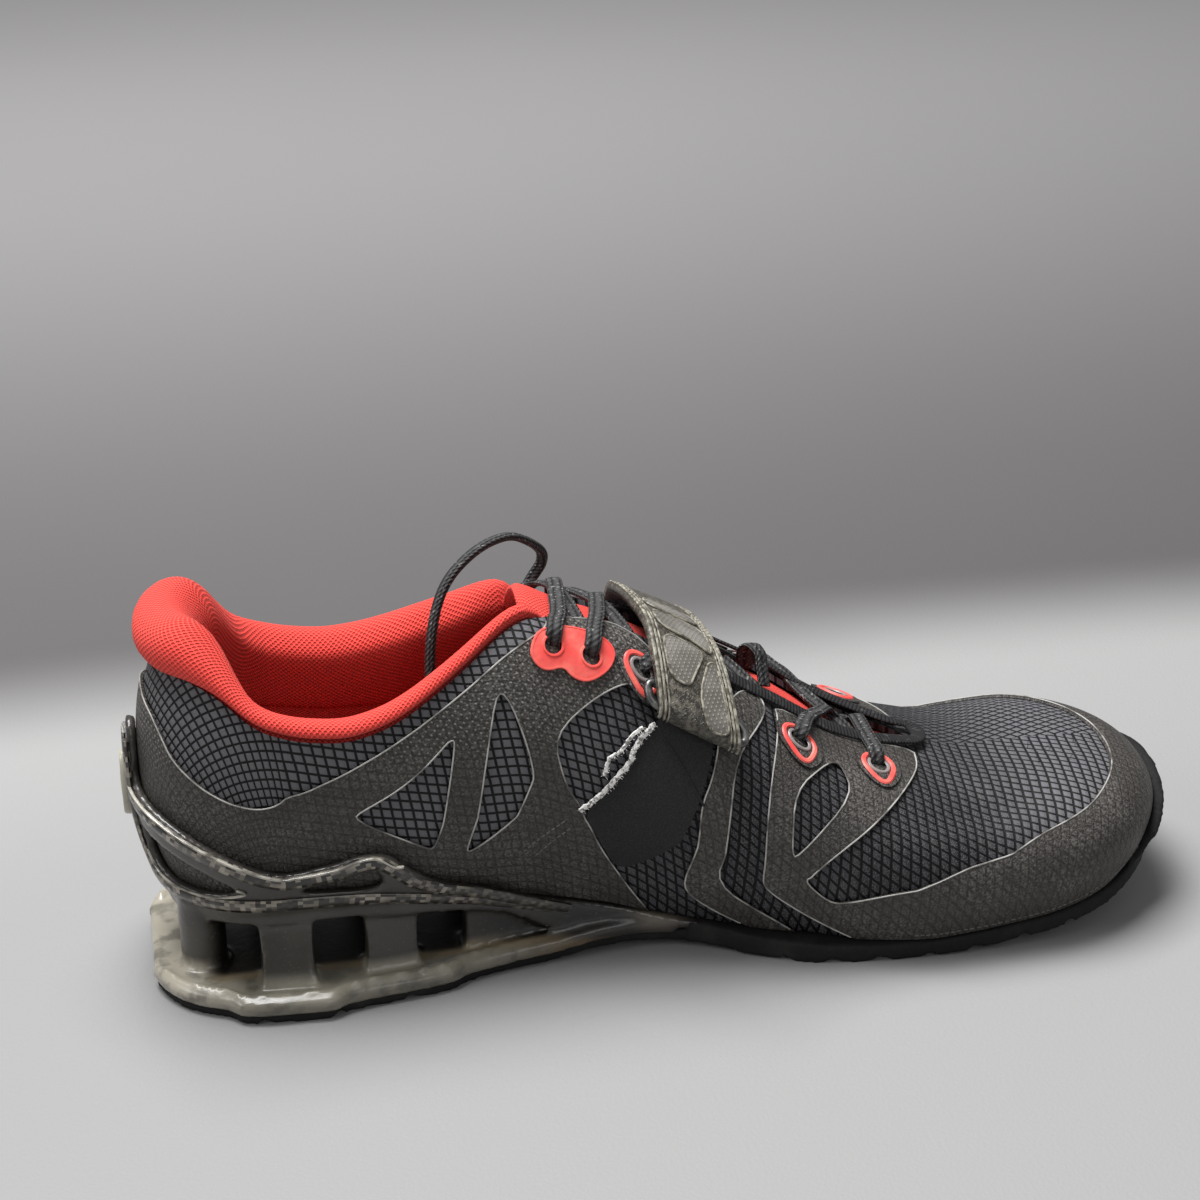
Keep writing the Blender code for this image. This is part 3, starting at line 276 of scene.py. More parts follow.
def lengths_of(points):
    """Distance of each point from the first, along the line."""
    run = [0.0]
    for a, b in zip(points, points[1:]):
        run.append(run[-1] + (b - a).length)
    return run


def cord_body(points, lifts, width, depth, corners=12, closed=False, square=1.0):
    """Cord of an oval section along points. Its flat side faces the lifts."""
    run = lengths_of(points)
    bm = lay_out(run, evenly(0.0, 1.0, corners))
    widths = width if isinstance(width, list) else [width] * len(points)
    frames = {}
    count = len(points)
    for i, distance in enumerate(run):
        before = points[i - 1] if i or not closed else points[-2]
        after = points[i + 1] if i + 1 < count else points[1] if closed else points[i]
        if i == 0 and not closed:
            before = points[0]
        tangent = (after - before).normalized()
        side = tangent.cross(lifts[i]).normalized()
        frames[round(distance, 6)] = (points[i], side, side.cross(tangent), widths[i])

    for vert in bm.verts:
        key = round(vert.co.x, 6)
        if key not in frames:
            key = min(frames, key=lambda other: abs(other - vert.co.x))
        centre, side, lift, broad = frames[key]
        turn = vert.co.y * math.tau
        across, over = math.cos(turn), math.sin(turn)
        across = math.copysign(abs(across) ** square, across)
        over = math.copysign(abs(over) ** square, over)
        vert.co = centre + side * across * broad / 2 + lift * over * depth / 2
    bmesh.ops.remove_doubles(bm, verts=bm.verts, dist=0.00001)
    if not closed:
        bmesh.ops.holes_fill(bm, edges=[edge for edge in bm.edges if edge.is_boundary], sides=0)
    return bm


def steady_lifts(points, first):
    """Directions over a line that turn as little as they can from the first one."""
    lifts = []
    lift = Vector(first)
    for a, b in zip(points, points[1:] + [points[-1] * 2 - points[-2]]):
        tangent = (b - a).normalized()
        lift = (lift - tangent * lift.dot(tangent)).normalized()
        lifts.append(lift)
    return lifts


def join_to(bm, other):
    """Adds another mesh to a mesh as it is."""
    spare = bpy.data.meshes.new("spare")
    other.to_mesh(spare)
    other.free()
    bm.from_mesh(spare)
    bpy.data.meshes.remove(spare)


def set_piece(bm, name, finish, nodes=(), angle=40):
    """Makes the mesh a piece of the shoe, in the frame and riding on its only body."""
    bmesh.ops.translate(bm, verts=bm.verts, vec=(-BACK, 0.0, 0.0))
    bmesh.ops.recalc_face_normals(bm, faces=bm.faces)
    mesh = bpy.data.meshes.new(name)
    bm.to_mesh(mesh)
    bm.free()
    mesh.shade_smooth()
    mesh.set_sharp_from_angle(angle=math.radians(angle))
    mesh.materials.append(finish.material)
    piece = bpy.data.objects.new(name, mesh)
    bpy.context.scene.collection.objects.link(piece)
    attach(piece, "root")
    if nodes:
        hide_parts(*nodes)
    return piece


braid = Finish("lace_braid", (0.012, 0.012, 0.013), 0.7, Specular_IOR_Level=0.3)
along_lace, round_lace, _ = braid.parts(braid.cloth())
rib_turn = round_lace * BRAID_RIBS
ribs = (rib_turn * math.pi).math("SINE").math("ABSOLUTE")
stitch = ((along_lace / BRAID_STITCH + rib_turn) * math.tau).math("SINE") * 0.5 + 0.5
fleck = braid.patches(0.60, 0.68, 900.0, 1.0) * stitch
# The braid is painted darker in the grooves between its ribs and paler on their crowns: painted shade
# and painted highlight.
braid.paint(fleck * 0.5, braid.mix(ribs, (0.003, 0.003, 0.003), (0.050, 0.050, 0.051)),
            (0.40, 0.40, 0.39))
braid.emboss(ribs * 0.7 + stitch * 0.5, 0.0004)

loose_points = through(LOOSE_ROUTE, 8)
loose_lifts = steady_lifts(loose_points, (0.0, -0.8, 0.6))
lace = set_piece(cord_body(loose_points, loose_lifts, LOOSE_WIDTH, LOOSE_DEPTH, 14, square=0.8),
                 "lace_loose_end", braid, ["lace_loop"])
tip_finish = Finish("lace_tip", (0.02, 0.02, 0.02), 0.3)
tip_finish.paint(tip_finish.noise(700.0), (0.012, 0.012, 0.012), (0.035, 0.035, 0.035))
tip_way = (loose_points[-1] - loose_points[-2]).normalized()
tip_points = [loose_points[-1] + tip_way * (share * TIP_LENGTH - TIP_SEAT) for share in
              (0.0, 0.04, 0.5, 0.96, 1.0)]
tip = set_piece(cord_body(tip_points, [loose_lifts[-1]] * 5, TIP_WIDTH, TIP_WIDTH, 12),
                "lace_tip", tip_finish)
set_down = [point - Vector((BACK, 0.0, 0.0)) for point in loose_points]
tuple(set_down[0])
lengths_of(loose_points)[-1]


# The upper is coated ripstop cloth over a thin lining, stretched on the last. It is one piece from
# the heel to the toe, open at the collar and the throat, and it creases softly over the ball.
LENGTH = 0.295
BALL_WIDTH = 0.101
UPPER_RISE = 0.084
HEEL_LIFT = 0.031
SOLE_FRONT = 0.006
TOE_SPRING = 0.014
ARCH_LIFT = 0.003
WALL = 0.0020
HEEL_PIVOT = 0.136
TOE_PIVOT = 0.814
HEEL_BACK = 0.010
TOE_TIP = 0.993
HEEL_ROUND = 2.15
TOE_ROUND_MEDIAL = 2.35
TOE_ROUND_LATERAL = 2.0
THROAT_END = 0.766
BRIDGE_CROWN = 0.06
TONGUE_FLARE = 0.19
FLARE_REACH = 0.16
OPENING_SPREAD = (-0.03, -0.02, -0.008, 0.008, 0.02, 0.03)
OPENING_SPREAD_TO = 0.40
TONGUE_START = 1.339
TONGUE_END = 1.90
SECTION_COLUMNS = (
    "x", "medial", "lateral", "tuck_medial", "tuck_lateral", "lift", "spring", "arch",
    "widest", "ridge", "full_medial", "full_lateral", "open_medial", "open_lateral")
SECTIONS = (
    (0.000, 0.277, 0.277, 0.050, 0.050, 1.00, 0.00, 0.0, 0.405, 0.964, 0.42, 0.42, 46, 46),
    (0.051, 0.297, 0.297, 0.050, 0.050, 1.00, 0.00, 0.0, 0.369, 0.940, 0.46, 0.46, 52, 50),
    (0.092, 0.317, 0.317, 0.050, 0.050, 1.00, 0.00, 0.0, 0.333, 0.917, 0.50, 0.50, 38, 38),
    (0.136, 0.327, 0.327, 0.050, 0.042, 1.00, 0.00, 0.0, 0.310, 0.893, 0.55, 0.55, 29, 30),
    (0.203, 0.332, 0.332, 0.060, 0.040, 0.97, 0.00, 0.0, 0.286, 0.881, 0.58, 0.58, 29, 29),
    (0.254, 0.332, 0.337, 0.062, 0.040, 0.92, 0.00, 0.0, 0.286, 0.893, 0.58, 0.60, 38, 34),
    (0.305, 0.327, 0.347, 0.069, 0.040, 0.84, 0.00, 0.0, 0.310, 0.917, 0.60, 0.62, 52, 40),
    (0.373, 0.327, 0.376, 0.089, 0.040, 0.60, 0.00, 0.2, 0.357, 1.000, 0.62, 0.66, 74, 46),
    (0.441, 0.337, 0.416, 0.109, 0.040, 0.36, 0.00, 0.9, 0.381, 1.000, 0.68, 0.74, 79, 46),
    (0.508, 0.376, 0.455, 0.109, 0.040, 0.16, 0.00, 0.8, 0.357, 0.917, 0.72, 0.84, 79, 52),
    (0.593, 0.426, 0.495, 0.089, 0.040, 0.04, 0.00, 0.0, 0.286, 0.762, 0.78, 1.00, 79, 64),
    (0.678, 0.465, 0.525, 0.050, 0.040, 0.00, 0.00, 0.0, 0.238, 0.583, 0.80, 1.08, 81, 78),
    (0.739, 0.475, 0.525, 0.040, 0.040, 0.00, 0.00, 0.0, 0.212, 0.503, 0.79, 1.12, 86, 86),
    (0.766, 0.472, 0.516, 0.040, 0.040, 0.00, 0.04, 0.0, 0.200, 0.464, 0.77, 1.15, 90, 90),
    (0.814, 0.465, 0.495, 0.040, 0.040, 0.00, 0.14, 0.0, 0.179, 0.417, 0.72, 1.18, 90, 90),
    (0.915, 0.396, 0.396, 0.040, 0.040, 0.00, 0.43, 0.0, 0.167, 0.417, 0.48, 0.62, 90, 90),
    (1.000, 0.198, 0.198, 0.040, 0.040, 0.00, 1.00, 0.0, 0.131, 0.417, 0.38, 0.40, 90, 90),
)
RIDGE_LINE = ((0.0, 0.0), (0.203, 0.0), (0.407, 0.010), (0.610, 0.010), (0.729, -0.010),
              (0.814, -0.020), (1.0, 0.0))
CLOTH_TURN_REAR = 8
CLOTH_TURN_FRONT = 24
CELL_LEAN = 0.34
CELL_LENGTH = 0.0029
CELL_HEIGHT = 0.0024
# Creases: from and to as (along, up), then half width and height in metres, negative for a trough.
CREASES = (
    ((-1.86, 1.46), (-2.30, 1.74), 0.0045, -0.0011),
    ((-1.80, 1.30), (-2.20, 1.58), 0.0060, 0.0006),
    ((-1.905, 1.98), (-1.935, 1.55), 0.0035, -0.0006),
    ((-1.95, 1.99), (-2.02, 1.66), 0.0040, 0.0005),
    ((-1.66, 0.55), (-1.82, 0.75), 0.0060, -0.0006),
    ((1.84, 1.50), (2.20, 1.72), 0.0045, -0.0009),
    ((1.90, 1.95), (1.95, 1.60), 0.0035, -0.0005),
    ((-1.02, 1.20), (-1.16, 1.70), 0.0060, -0.0006),
    ((-1.30, 0.30), (-1.50, 0.62), 0.0070, -0.0008),
)


def smooth(values, x):
    """Smooth curve through rows of (x, y) that never swings past a row."""
    if x <= values[0][0]:
        return values[0][1]
    if x >= values[-1][0]:
        return values[-1][1]
    last = len(values) - 1
    i = max(j for j in range(last) if values[j][0] <= x)

    def rise(j):
        return (values[j + 1][1] - values[j][1]) / (values[j + 1][0] - values[j][0])

    def slope(j):
        if j == 0 or j == last:
            return rise(min(j, last - 1))
        before, after = rise(j - 1), rise(j)
        return 0.0 if before * after <= 0 else 2 * before * after / (before + after)

    step = values[i + 1][0] - values[i][0]
    t = (x - values[i][0]) / step
    start, end = slope(i) * step, slope(i + 1) * step
    return ((2 * t ** 3 - 3 * t ** 2 + 1) * values[i][1] + (t ** 3 - 2 * t ** 2 + t) * start
            + (3 * t ** 2 - 2 * t ** 3) * values[i + 1][1] + (t ** 3 - t ** 2) * end)


@lru_cache(maxsize=None)
def section(name, x):
    """Value of a section column at the share x of the length."""
    column = SECTION_COLUMNS.index(name)
    return smooth([(row[0], row[column]) for row in SECTIONS], x)


@lru_cache(maxsize=None)
def ridge_y(x):
    return BALL_WIDTH * smooth(RIDGE_LINE, x)


def feather(x):
    """Height of the upper's lower edge at x in metres."""
    share = x / LENGTH
    return (SOLE_FRONT + section("lift", share) * (HEEL_LIFT - SOLE_FRONT)
            + section("spring", share) * TOE_SPRING)


def radius(reach_long, reach_side, cosine, sine, roundness):
    return ((abs(cosine) / reach_long) ** roundness
            + (abs(sine) / reach_side) ** roundness) ** (-1 / roundness)


def wrap(along):
    """Along folded into -3 to 3, so that a piece may run on past the toe tip."""
    return along - 6 if along > 3 else along + 6 if along < -3 else along


@lru_cache(maxsize=None)
def rib(along):
    """Origin, direction and reach of the rib at along, with the share x of its widest point."""
    side = -1 if along < 0 else 1
    along = abs(along)
    width = "medial" if side < 0 else "lateral"
    if along < 1 or along > 2:
        heel = along < 1
        pivot = HEEL_PIVOT if heel else TOE_PIVOT
        turn = (along if heel else 3 - along) * math.pi / 2
        toe_round = TOE_ROUND_MEDIAL if side < 0 else TOE_ROUND_LATERAL
        reach = radius(LENGTH * abs(pivot - (HEEL_BACK if heel else TOE_TIP)),
                       BALL_WIDTH * section(width, pivot), math.cos(turn), math.sin(turn),
                       HEEL_ROUND if heel else toe_round)
        origin = Vector((LENGTH * pivot, ridge_y(pivot), 0))
        direction = Vector((math.cos(turn) * (-1 if heel else 1), side * math.sin(turn), 0))
        return origin, direction, reach, (origin.x + direction.x * reach) / LENGTH
    x = HEEL_PIVOT + (along - 1) * (TOE_PIVOT - HEEL_PIVOT)
    return (Vector((LENGTH * x, ridge_y(x), 0)), Vector((0, side, 0)),
            BALL_WIDTH * section(width, x), x)


@lru_cache(maxsize=None)
def by_side(name, along, x):
    """A column that differs by side, shared evenly at the back of the heel and the toe tip."""
    own, other = ("medial", "lateral") if along < 0 else ("lateral", "medial")
    distance = min(abs(along), 3 - abs(along), 1)
    share = 0.5 + 0.5 * math.sin(distance * math.pi / 2)
    if name == "open" and x < OPENING_SPREAD_TO:
        return sum(section(name + "_" + word, x + off) * part / len(OPENING_SPREAD)
                   for word, part in ((own, share), (other, 1 - share)) for off in OPENING_SPREAD)
    return section(name + "_" + own, x) * share + section(name + "_" + other, x) * (1 - share)


@lru_cache(maxsize=None)
def heights(along):
    """Heights of the widest line, the ridge and the feather edge on a rib."""
    origin, direction, reach, x = rib(along)
    pivot_x = min(max(origin.x, LENGTH * HEEL_PIVOT), LENGTH * TOE_PIVOT)
    return (feather(x * LENGTH) + UPPER_RISE * section("widest", x),
            feather(pivot_x) + UPPER_RISE * section("ridge", pivot_x / LENGTH),
            feather(x * LENGTH))


def capped(value):
    """The value, held between 0 and 1."""
    return min(max(value, 0.0), 1.0)


def chart_metres(along, up):
    """Place on the upper's chart in metres, near enough for creases and knit."""
    return Vector((along * 0.2, up * 0.045))


def relief(along, up):
    """Height of the creases, in metres."""
    total = 0.0
    here = chart_metres(along, up)
    for start, end, reach, height in CREASES:
        a, b = chart_metres(*start), chart_metres(*end)
        share = capped((here - a).dot(b - a) / (b - a).length_squared)
        off = (here - a - (b - a) * share).length / reach
        if off < 3:
            fade = math.sin(math.pi * min(max(share, 0.08), 0.92)) ** 0.6
            total += height * math.exp(-off * off) * fade
    return total


def vault(along, angle, out=0.0):
    """Point of the dome at an angle in degrees over the widest line, 90 at the ridge."""
    along = wrap(along)
    origin, direction, reach, x = rib(along)
    low, top, _ = heights(along)
    turn = math.radians(angle)
    across = (reach + out) * max(math.cos(turn), 0.0) ** by_side("full", along, x)
    point = origin + direction * across
    point.z = low + (top + out - low) * math.sin(turn)
    return point


def instep(along, turn, out=0.0):
    """Point over the instep at a turn in degrees from the medial side to the lateral one.

    Between the edges of the throat it follows a low bridge from edge to edge.
    """
    x = rib(along)[3]
    medial, lateral = by_side("open", -along, x), by_side("open", along, x)
    if turn <= medial or medial + lateral > 179:
        return vault(-along, turn, out) if turn <= 90 else vault(along, 180 - turn, out)
    if turn >= 180 - lateral:
        return vault(along, 180 - turn, out)
    share = (turn - medial) / (180 - lateral - medial)
    flare = capped(1 - (along - TONGUE_START) / FLARE_REACH) ** 2
    crown = BRIDGE_CROWN + TONGUE_FLARE * flare
    start, end = vault(-along, medial, out), vault(along, lateral, out)
    point = start.lerp(end, share)
    point.z += crown * (end - start).length * math.sin(math.pi * share)
    return point


def skin(along, up, out=0.0):
    """Point of the upper's outer face, moved outwards by out."""
    along = wrap(along)
    origin, direction, reach, x = rib(along)
    if up > 1:
        return vault(along, (up - 1) * by_side("open", along, x), out)
    across = reach + out - BALL_WIDTH * by_side("tuck", along, x) * (1 - up) ** 2
    point = origin + direction * across
    low, _, foot = heights(along)
    point.z = foot + (low - foot) * up
    return point


def surface(along, up, out=0.0):
    """Point of the creased upper."""
    return skin(along, up, out + relief(wrap(along), up))


def normal_at(along, up):
    step = 0.004
    spread = skin(along + step, up) - skin(along - step, up)
    rise = skin(along, min(up + step, 2.0)) - skin(along, up - step)
    way = spread.cross(rise).normalized()
    return way if way.dot(rib(wrap(along))[1] + Vector((0, 0, 0.4))) > 0 else -way


def spread_out(point, along):
    """Place of a point of the upper on the flat cloth it was cut from, in metres."""
    along = wrap(along)
    origin, direction, _, _ = rib(along)
    flat = (point - origin).xy.length
    drop = max(heights(along)[1] - point.z, 0.0)
    reach = (flat ** 1.5 + drop ** 1.5) ** (1 / 1.5)
    return Vector((origin.x + direction.x * reach, origin.y + direction.y * reach))


def cloth_uv(bm):
    """UV map in metres on the flat cloth, its threads turned in the rear and in the front."""
    uv = bm.loops.layers.uv["UVMap"]
    for face in bm.faces:
        middle = wrap(sum(loop[uv].uv.x for loop in face.loops) / len(face.loops))
        side = -1 if middle < 0 else 1
        turn = math.radians(CLOTH_TURN_REAR if abs(middle) < 1.60 else CLOTH_TURN_FRONT)
        for loop in face.loops:
            along, up = loop[uv].uv
            flat = spread_out(surface(along, up), along)
            flat.rotate(Matrix.Rotation(-side * turn, 2))
            loop[uv].uv = flat


def cells(finish, u, v, length, width):
    """Threads that cross in small leaning cells."""
    return finish.line(u + v * CELL_LEAN, length, width).math(
        "MAXIMUM", finish.line(v, CELL_HEIGHT, 0.0006))


def ripstop_of(name, ground, thread, worn, glossy):
    """Cloth of fine threads with heavier threads that cross in small cells."""
    cloth = Finish(name, ground, glossy, Specular_IOR_Level=0.2)
    u, v, _ = cloth.parts(cloth.cloth())
    wander = cloth.noise(90.0) - 0.5
    u = u + wander * 0.0007
    v = v + wander * 0.0005
    heavy = cells(cloth, u, v, CELL_LENGTH, 0.0007)
    puff = ((u + v * CELL_LEAN) / CELL_LENGTH * math.tau).math("COSINE")
    grain = cloth.noise(2600.0, 2.0, cloth.cloth())
    patch = cloth.noise(45.0)
    base = cloth.mix(cloth.step(grain, 0.38, 0.68) * 0.6, ground, worn)
    base = cloth.mix(cloth.step(patch, 0.45, 0.75) * 0.25, base, worn)
    ahead = cloth.parts(cloth.place())[0]
    pale = cloth.step(ahead, 0.105, 0.075).math("MAXIMUM", cloth.step(ahead, 0.185, 0.225))
    base = cloth.mix(pale * 0.8, base, worn)
    cloth.paint(heavy * 0.96, base, thread)
    cloth.emboss(grain * 0.5 - heavy * 0.6 - puff * 0.25, 0.0004)
    cloth.put("Roughness", glossy + grain * 0.2)
    return cloth


FINE_RIBS = evenly(0.0, 1.0, 24)[:-1] + evenly(1.0, 2.0, 84)[:-1] + evenly(2.0, 3.0, 30)
FINE_ROWS = evenly(0.0, 1.0, 12)[:-1] + evenly(1.0, 2.0, 24)
NEAR = 0.001


def both_sides(alongs):
    return sorted({side * along for along in alongs for side in (-1, 1)})


def doubled(bm):
    """Extrudes a whole flat mesh, and gives back the vertices of the new face."""
    made = bmesh.ops.extrude_face_region(bm, geom=bm.faces[:])
    return {item for item in made["geom"] if isinstance(item, bmesh.types.BMVert)}


closed_from = 1 + (THROAT_END - HEEL_PIVOT) / (TOE_PIVOT - HEEL_PIVOT) - NEAR
shell = lay_out(both_sides(FINE_RIBS), FINE_ROWS)
outer = doubled(shell)
bmesh.ops.delete(shell, context="FACES", geom=[
    face for face in shell.faces if all(abs(vert.co.x) > 3 - NEAR for vert in face.verts)
    or all(vert.co.y > 2 - NEAR and abs(vert.co.x) > closed_from for vert in face.verts)])
cloth_uv(shell)
for vert in shell.verts:
    vert.co = surface(vert.co.x, vert.co.y, 0.0 if vert in outer else -WALL)
bmesh.ops.remove_doubles(shell, verts=shell.verts, dist=0.00002)
bmesh.ops.dissolve_degenerate(shell, dist=0.00002, edges=shell.edges)
ripstop = ripstop_of("ripstop_cloth", (0.018, 0.018, 0.021), (0.0015, 0.0015, 0.0016),
                     (0.150, 0.149, 0.160), 0.5)
set_piece(shell, "upper_cloth", ripstop, ["upper"])


# Films of urethane are welded over the cloth: the counter round the heel, a strip at each arch,
# and the chevrons that run into the toe cap. Their cut edges show as thin pale lines.
FILM_LOW = 0.0002
FILM_TOP = 0.0011
LINE_WIDTH = 0.00045
LINE_STEP = 0.0012
FOOT_TRIM = 0.02
COLLAR_LINE = [(0.0, 1.71), (0.23, 1.60), (0.33, 1.48), (0.43, 1.30), (0.58, 1.19), (0.72, 1.15),
               (0.84, 1.155), (0.92, 1.20), (0.98, 1.275), (1.02, 1.38), (1.06, 1.56), (1.10, 1.71),
               (1.15, 1.815), (1.20, 1.84), (1.27, 1.835), (1.33, 1.83), (1.365, 1.89),
               (1.372, 1.97)]
THROAT_SIDE = [(1.52, 1.96), (1.51, 1.70), (1.43, 1.54), (1.363, 1.35), (1.377, 1.14),
               (1.403, 1.03), (1.427, 0.68), (1.467, 0.29), (1.50, 0.0)]
WINDOW_REAR = [(1.086, 1.11), (1.100, 1.21), (1.216, 1.575), (1.229, 1.57), (1.227, 1.47),
               (1.197, 0.74), (1.190, 0.68), (1.180, 0.72)]
WINDOW_FRONT = [(1.300, 1.66), (1.284, 1.62), (1.237, 0.62), (1.246, 0.58), (1.327, 1.12),
                (1.337, 1.20)]
ARCH_STRIP = [(1.558, 1.05), (1.537, 0.54), (1.553, 0.35), (1.64, 0.0), (1.70, 0.0),
              (1.66, 0.28), (1.58, 0.64), (1.597, 1.12), (1.613, 1.49), (1.672, 1.84),
              (1.675, 1.96), (1.645, 1.96), (1.600, 1.70), (1.590, 1.50), (1.578, 1.34),
              (1.562, 1.20)]
CHEVRON = [(1.78, 0.0), (1.653, 0.69), (1.643, 0.83), (1.653, 1.34), (1.690, 1.84), (1.692, 1.96),
           (1.905, 1.96), (1.897, 1.84), (1.873, 1.72), (1.707, 1.01), (1.703, 0.92),
           (1.737, 0.66)]
TOE_LINE = [(1.757, 0.66), (1.823, 0.92), (1.95, 1.23), (2.12, 1.38), (2.34, 1.48), (2.56, 1.60),
            (2.80, 1.66), (3.0, 1.67)]
WINDOW_CHEVRON = [(1.753, 1.72), (1.773, 1.75), (1.780, 1.57), (1.690, 1.09), (1.683, 1.13),
                  (1.693, 1.45)]


def mirrored(points):
    return [(-along, up) for along, up in points]


def past_tip(points):
    """The same corners on the other side of the toe tip, where along runs on past 3."""
    return [(6 - along, up) for along, up in points]


def softened(loop, rounds=2, share=0.22):
    """Closed outline with its corners cut round."""
    for _ in range(rounds):
        cut = []
        for a, b in zip(loop, loop[1:] + loop[:1]):
            short = 0.0 if a[1] == b[1] == 0.0 else share
            cut.append((a[0] + (b[0] - a[0]) * short, a[1] + (b[1] - a[1]) * short))
            cut.append((b[0] + (a[0] - b[0]) * short, b[1] + (a[1] - b[1]) * short))
        loop = cut
    return loop


def cut_chart(outline, windows, alongs, ups):
    """Flat mesh of an outline with windows, split along fine ribs and rows."""
    bm = bmesh.new()
    for loop in (outline, *windows):
        corners = [bm.verts.new((along, up, 0)) for along, up in loop]
        for a, b in zip(corners, corners[1:] + corners[:1]):
            bm.edges.new((a, b))
    bmesh.ops.remove_doubles(bm, verts=bm.verts, dist=0.00001)
    bmesh.ops.triangle_fill(bm, edges=bm.edges[:], use_beauty=True, use_dissolve=False)
    for normal, places in (((1, 0, 0), alongs), ((0, 1, 0), ups)):
        for place in places:
            bmesh.ops.bisect_plane(bm, geom=bm.verts[:] + bm.edges[:] + bm.faces[:], dist=0.0004,
                                   plane_co=[place * part for part in normal], plane_no=normal)
    note_places(bm)
    return bm


def raise_chart(bm, low, high, place):
    """Gives a flat chart its thickness and bends it into place."""
    bmesh.ops.recalc_face_normals(bm, faces=bm.faces)
    top = doubled(bm)
    for vert in bm.verts:
        vert.co = place(vert.co.x, vert.co.y, high if vert in top else low)


def on_upper(outline, windows, low, high):
    """A thin piece that lies on the upper."""
    reach = [along for along, up in outline]
    ups = [up for along, up in outline]
    ribs = both_sides(FINE_RIBS) + [6 - along for along in FINE_RIBS[:-1]]
    bm = cut_chart(outline, windows,
                   [along for along in ribs if min(reach) < along < max(reach)],
                   [row for row in FINE_ROWS if min(ups) < row < max(ups)])
    cloth_uv(bm)
    raise_chart(bm, low, high, surface)
    return bm


def free_edge(outline):
    """The part of a closed outline that lies over the sole, as one open line."""
    start = next(i for i, (a, b) in enumerate(zip(outline, outline[1:])) if a[1] <= FOOT_TRIM < b[1])
    return [point for point in outline[start + 1:] + outline[:start + 1] if point[1] > FOOT_TRIM]


def edge_line(loop, out, width, closed=True, depth=None):
    """Fine raised line along corners of (along, up)."""
    dense = []
    pairs = list(zip(loop, loop[1:] + loop[:1])) if closed else list(zip(loop, loop[1:]))
    for a, b in pairs:
        steps = max(1, round((surface(*b) - surface(*a)).length / LINE_STEP))
        dense += [(a[0] + (b[0] - a[0]) * i / steps, a[1] + (b[1] - a[1]) * i / steps)
                  for i in range(steps)]
    dense.append(loop[0] if closed else loop[-1])
    dense = [(along, min(up, 2.0)) for along, up in dense]
    return cord_body([surface(along, up, out) for along, up in dense],
                     [normal_at(along, up) for along, up in dense], width, depth or width, 6,
                     closed=closed)


film = Finish("film_urethane", (0.05, 0.045, 0.04), 0.5, Specular_IOR_Level=0.35)
u, v, _ = film.parts(film.cloth())
weave = cells(film, u, v, 0.0027, 0.0006)
dust = film.patches(0.60, 0.78, 1900.0, 2.0)
worn = film.patches(0.42, 0.70, 60.0)
_, _, height = film.parts(film.place())
dash = film.line(u - v * 0.6, 0.0021, 0.0007) * film.line(v + u * 0.5, 0.0016, 0.0005)
dash = dash * film.step(height, 0.064, 0.080)
pore = film.patches(0.36, 0.66, 1500.0, 2.0)
tone = film.mix(worn, (0.074, 0.068, 0.062), (0.128, 0.119, 0.110))
tone = film.mix(pore, (0.036, 0.0325, 0.0295), tone)
tone = film.mix(weave * 0.5, tone, (0.010, 0.009, 0.008))
tone = film.mix((dust * 0.4).math("MAXIMUM", dash * 0.6), tone, (0.30, 0.285, 0.26))
film.put("Base Color", tone)
film.put("Roughness", 0.42 + worn * 0.16 + dust * 0.15)
film.emboss(weave * -0.4 + pore * 0.5, 0.00022)

edge = Finish("film_edge", (0.5, 0.49, 0.46), 0.5)
patchy = edge.patches(0.32, 0.62, 160.0)
edge.paint(patchy, (0.09, 0.085, 0.078), (0.42, 0.41, 0.385))
edge.put("Roughness", 0.35 + patchy * 0.2)

counter_side = COLLAR_LINE[1:] + THROAT_SIDE
counter = softened(list(reversed(mirrored(counter_side))) + [COLLAR_LINE[0]] + counter_side)
windows = [softened(window) for window in (WINDOW_REAR, WINDOW_FRONT, mirrored(WINDOW_REAR),
                                           mirrored(WINDOW_FRONT))]
set_piece(on_upper(counter, windows, FILM_LOW, FILM_TOP), "counter_weld", film,
          ["counter_film"])
lines = bmesh.new()
for loop in windows:
    join_to(lines, edge_line(loop, FILM_TOP, LINE_WIDTH))
join_to(lines, edge_line(free_edge(counter), FILM_TOP, LINE_WIDTH, closed=False))

for side, word in ((-1, "medial"), (1, "lateral")):
    strip = softened(ARCH_STRIP if side > 0 else mirrored(ARCH_STRIP))
    set_piece(on_upper(strip, [], FILM_LOW, FILM_TOP), "arch_weld_" + word, film,
              ["arch_strip_" + word])
    join_to(lines, edge_line(free_edge(strip), FILM_TOP, LINE_WIDTH, closed=False))

toe_rear = CHEVRON + TOE_LINE[:-1]
toe = softened(toe_rear + [TOE_LINE[-1]] + past_tip(reversed(toe_rear)))
toe_windows = [softened(WINDOW_CHEVRON), softened(past_tip(WINDOW_CHEVRON))]
set_piece(on_upper(toe, toe_windows, FILM_LOW, FILM_TOP), "toe_weld", film, ["toe_cap"])
for loop in toe_windows:
    join_to(lines, edge_line(loop, FILM_TOP, LINE_WIDTH))
join_to(lines, edge_line(free_edge(toe), FILM_TOP, LINE_WIDTH, closed=False))
set_piece(lines, "film_edges", edge)


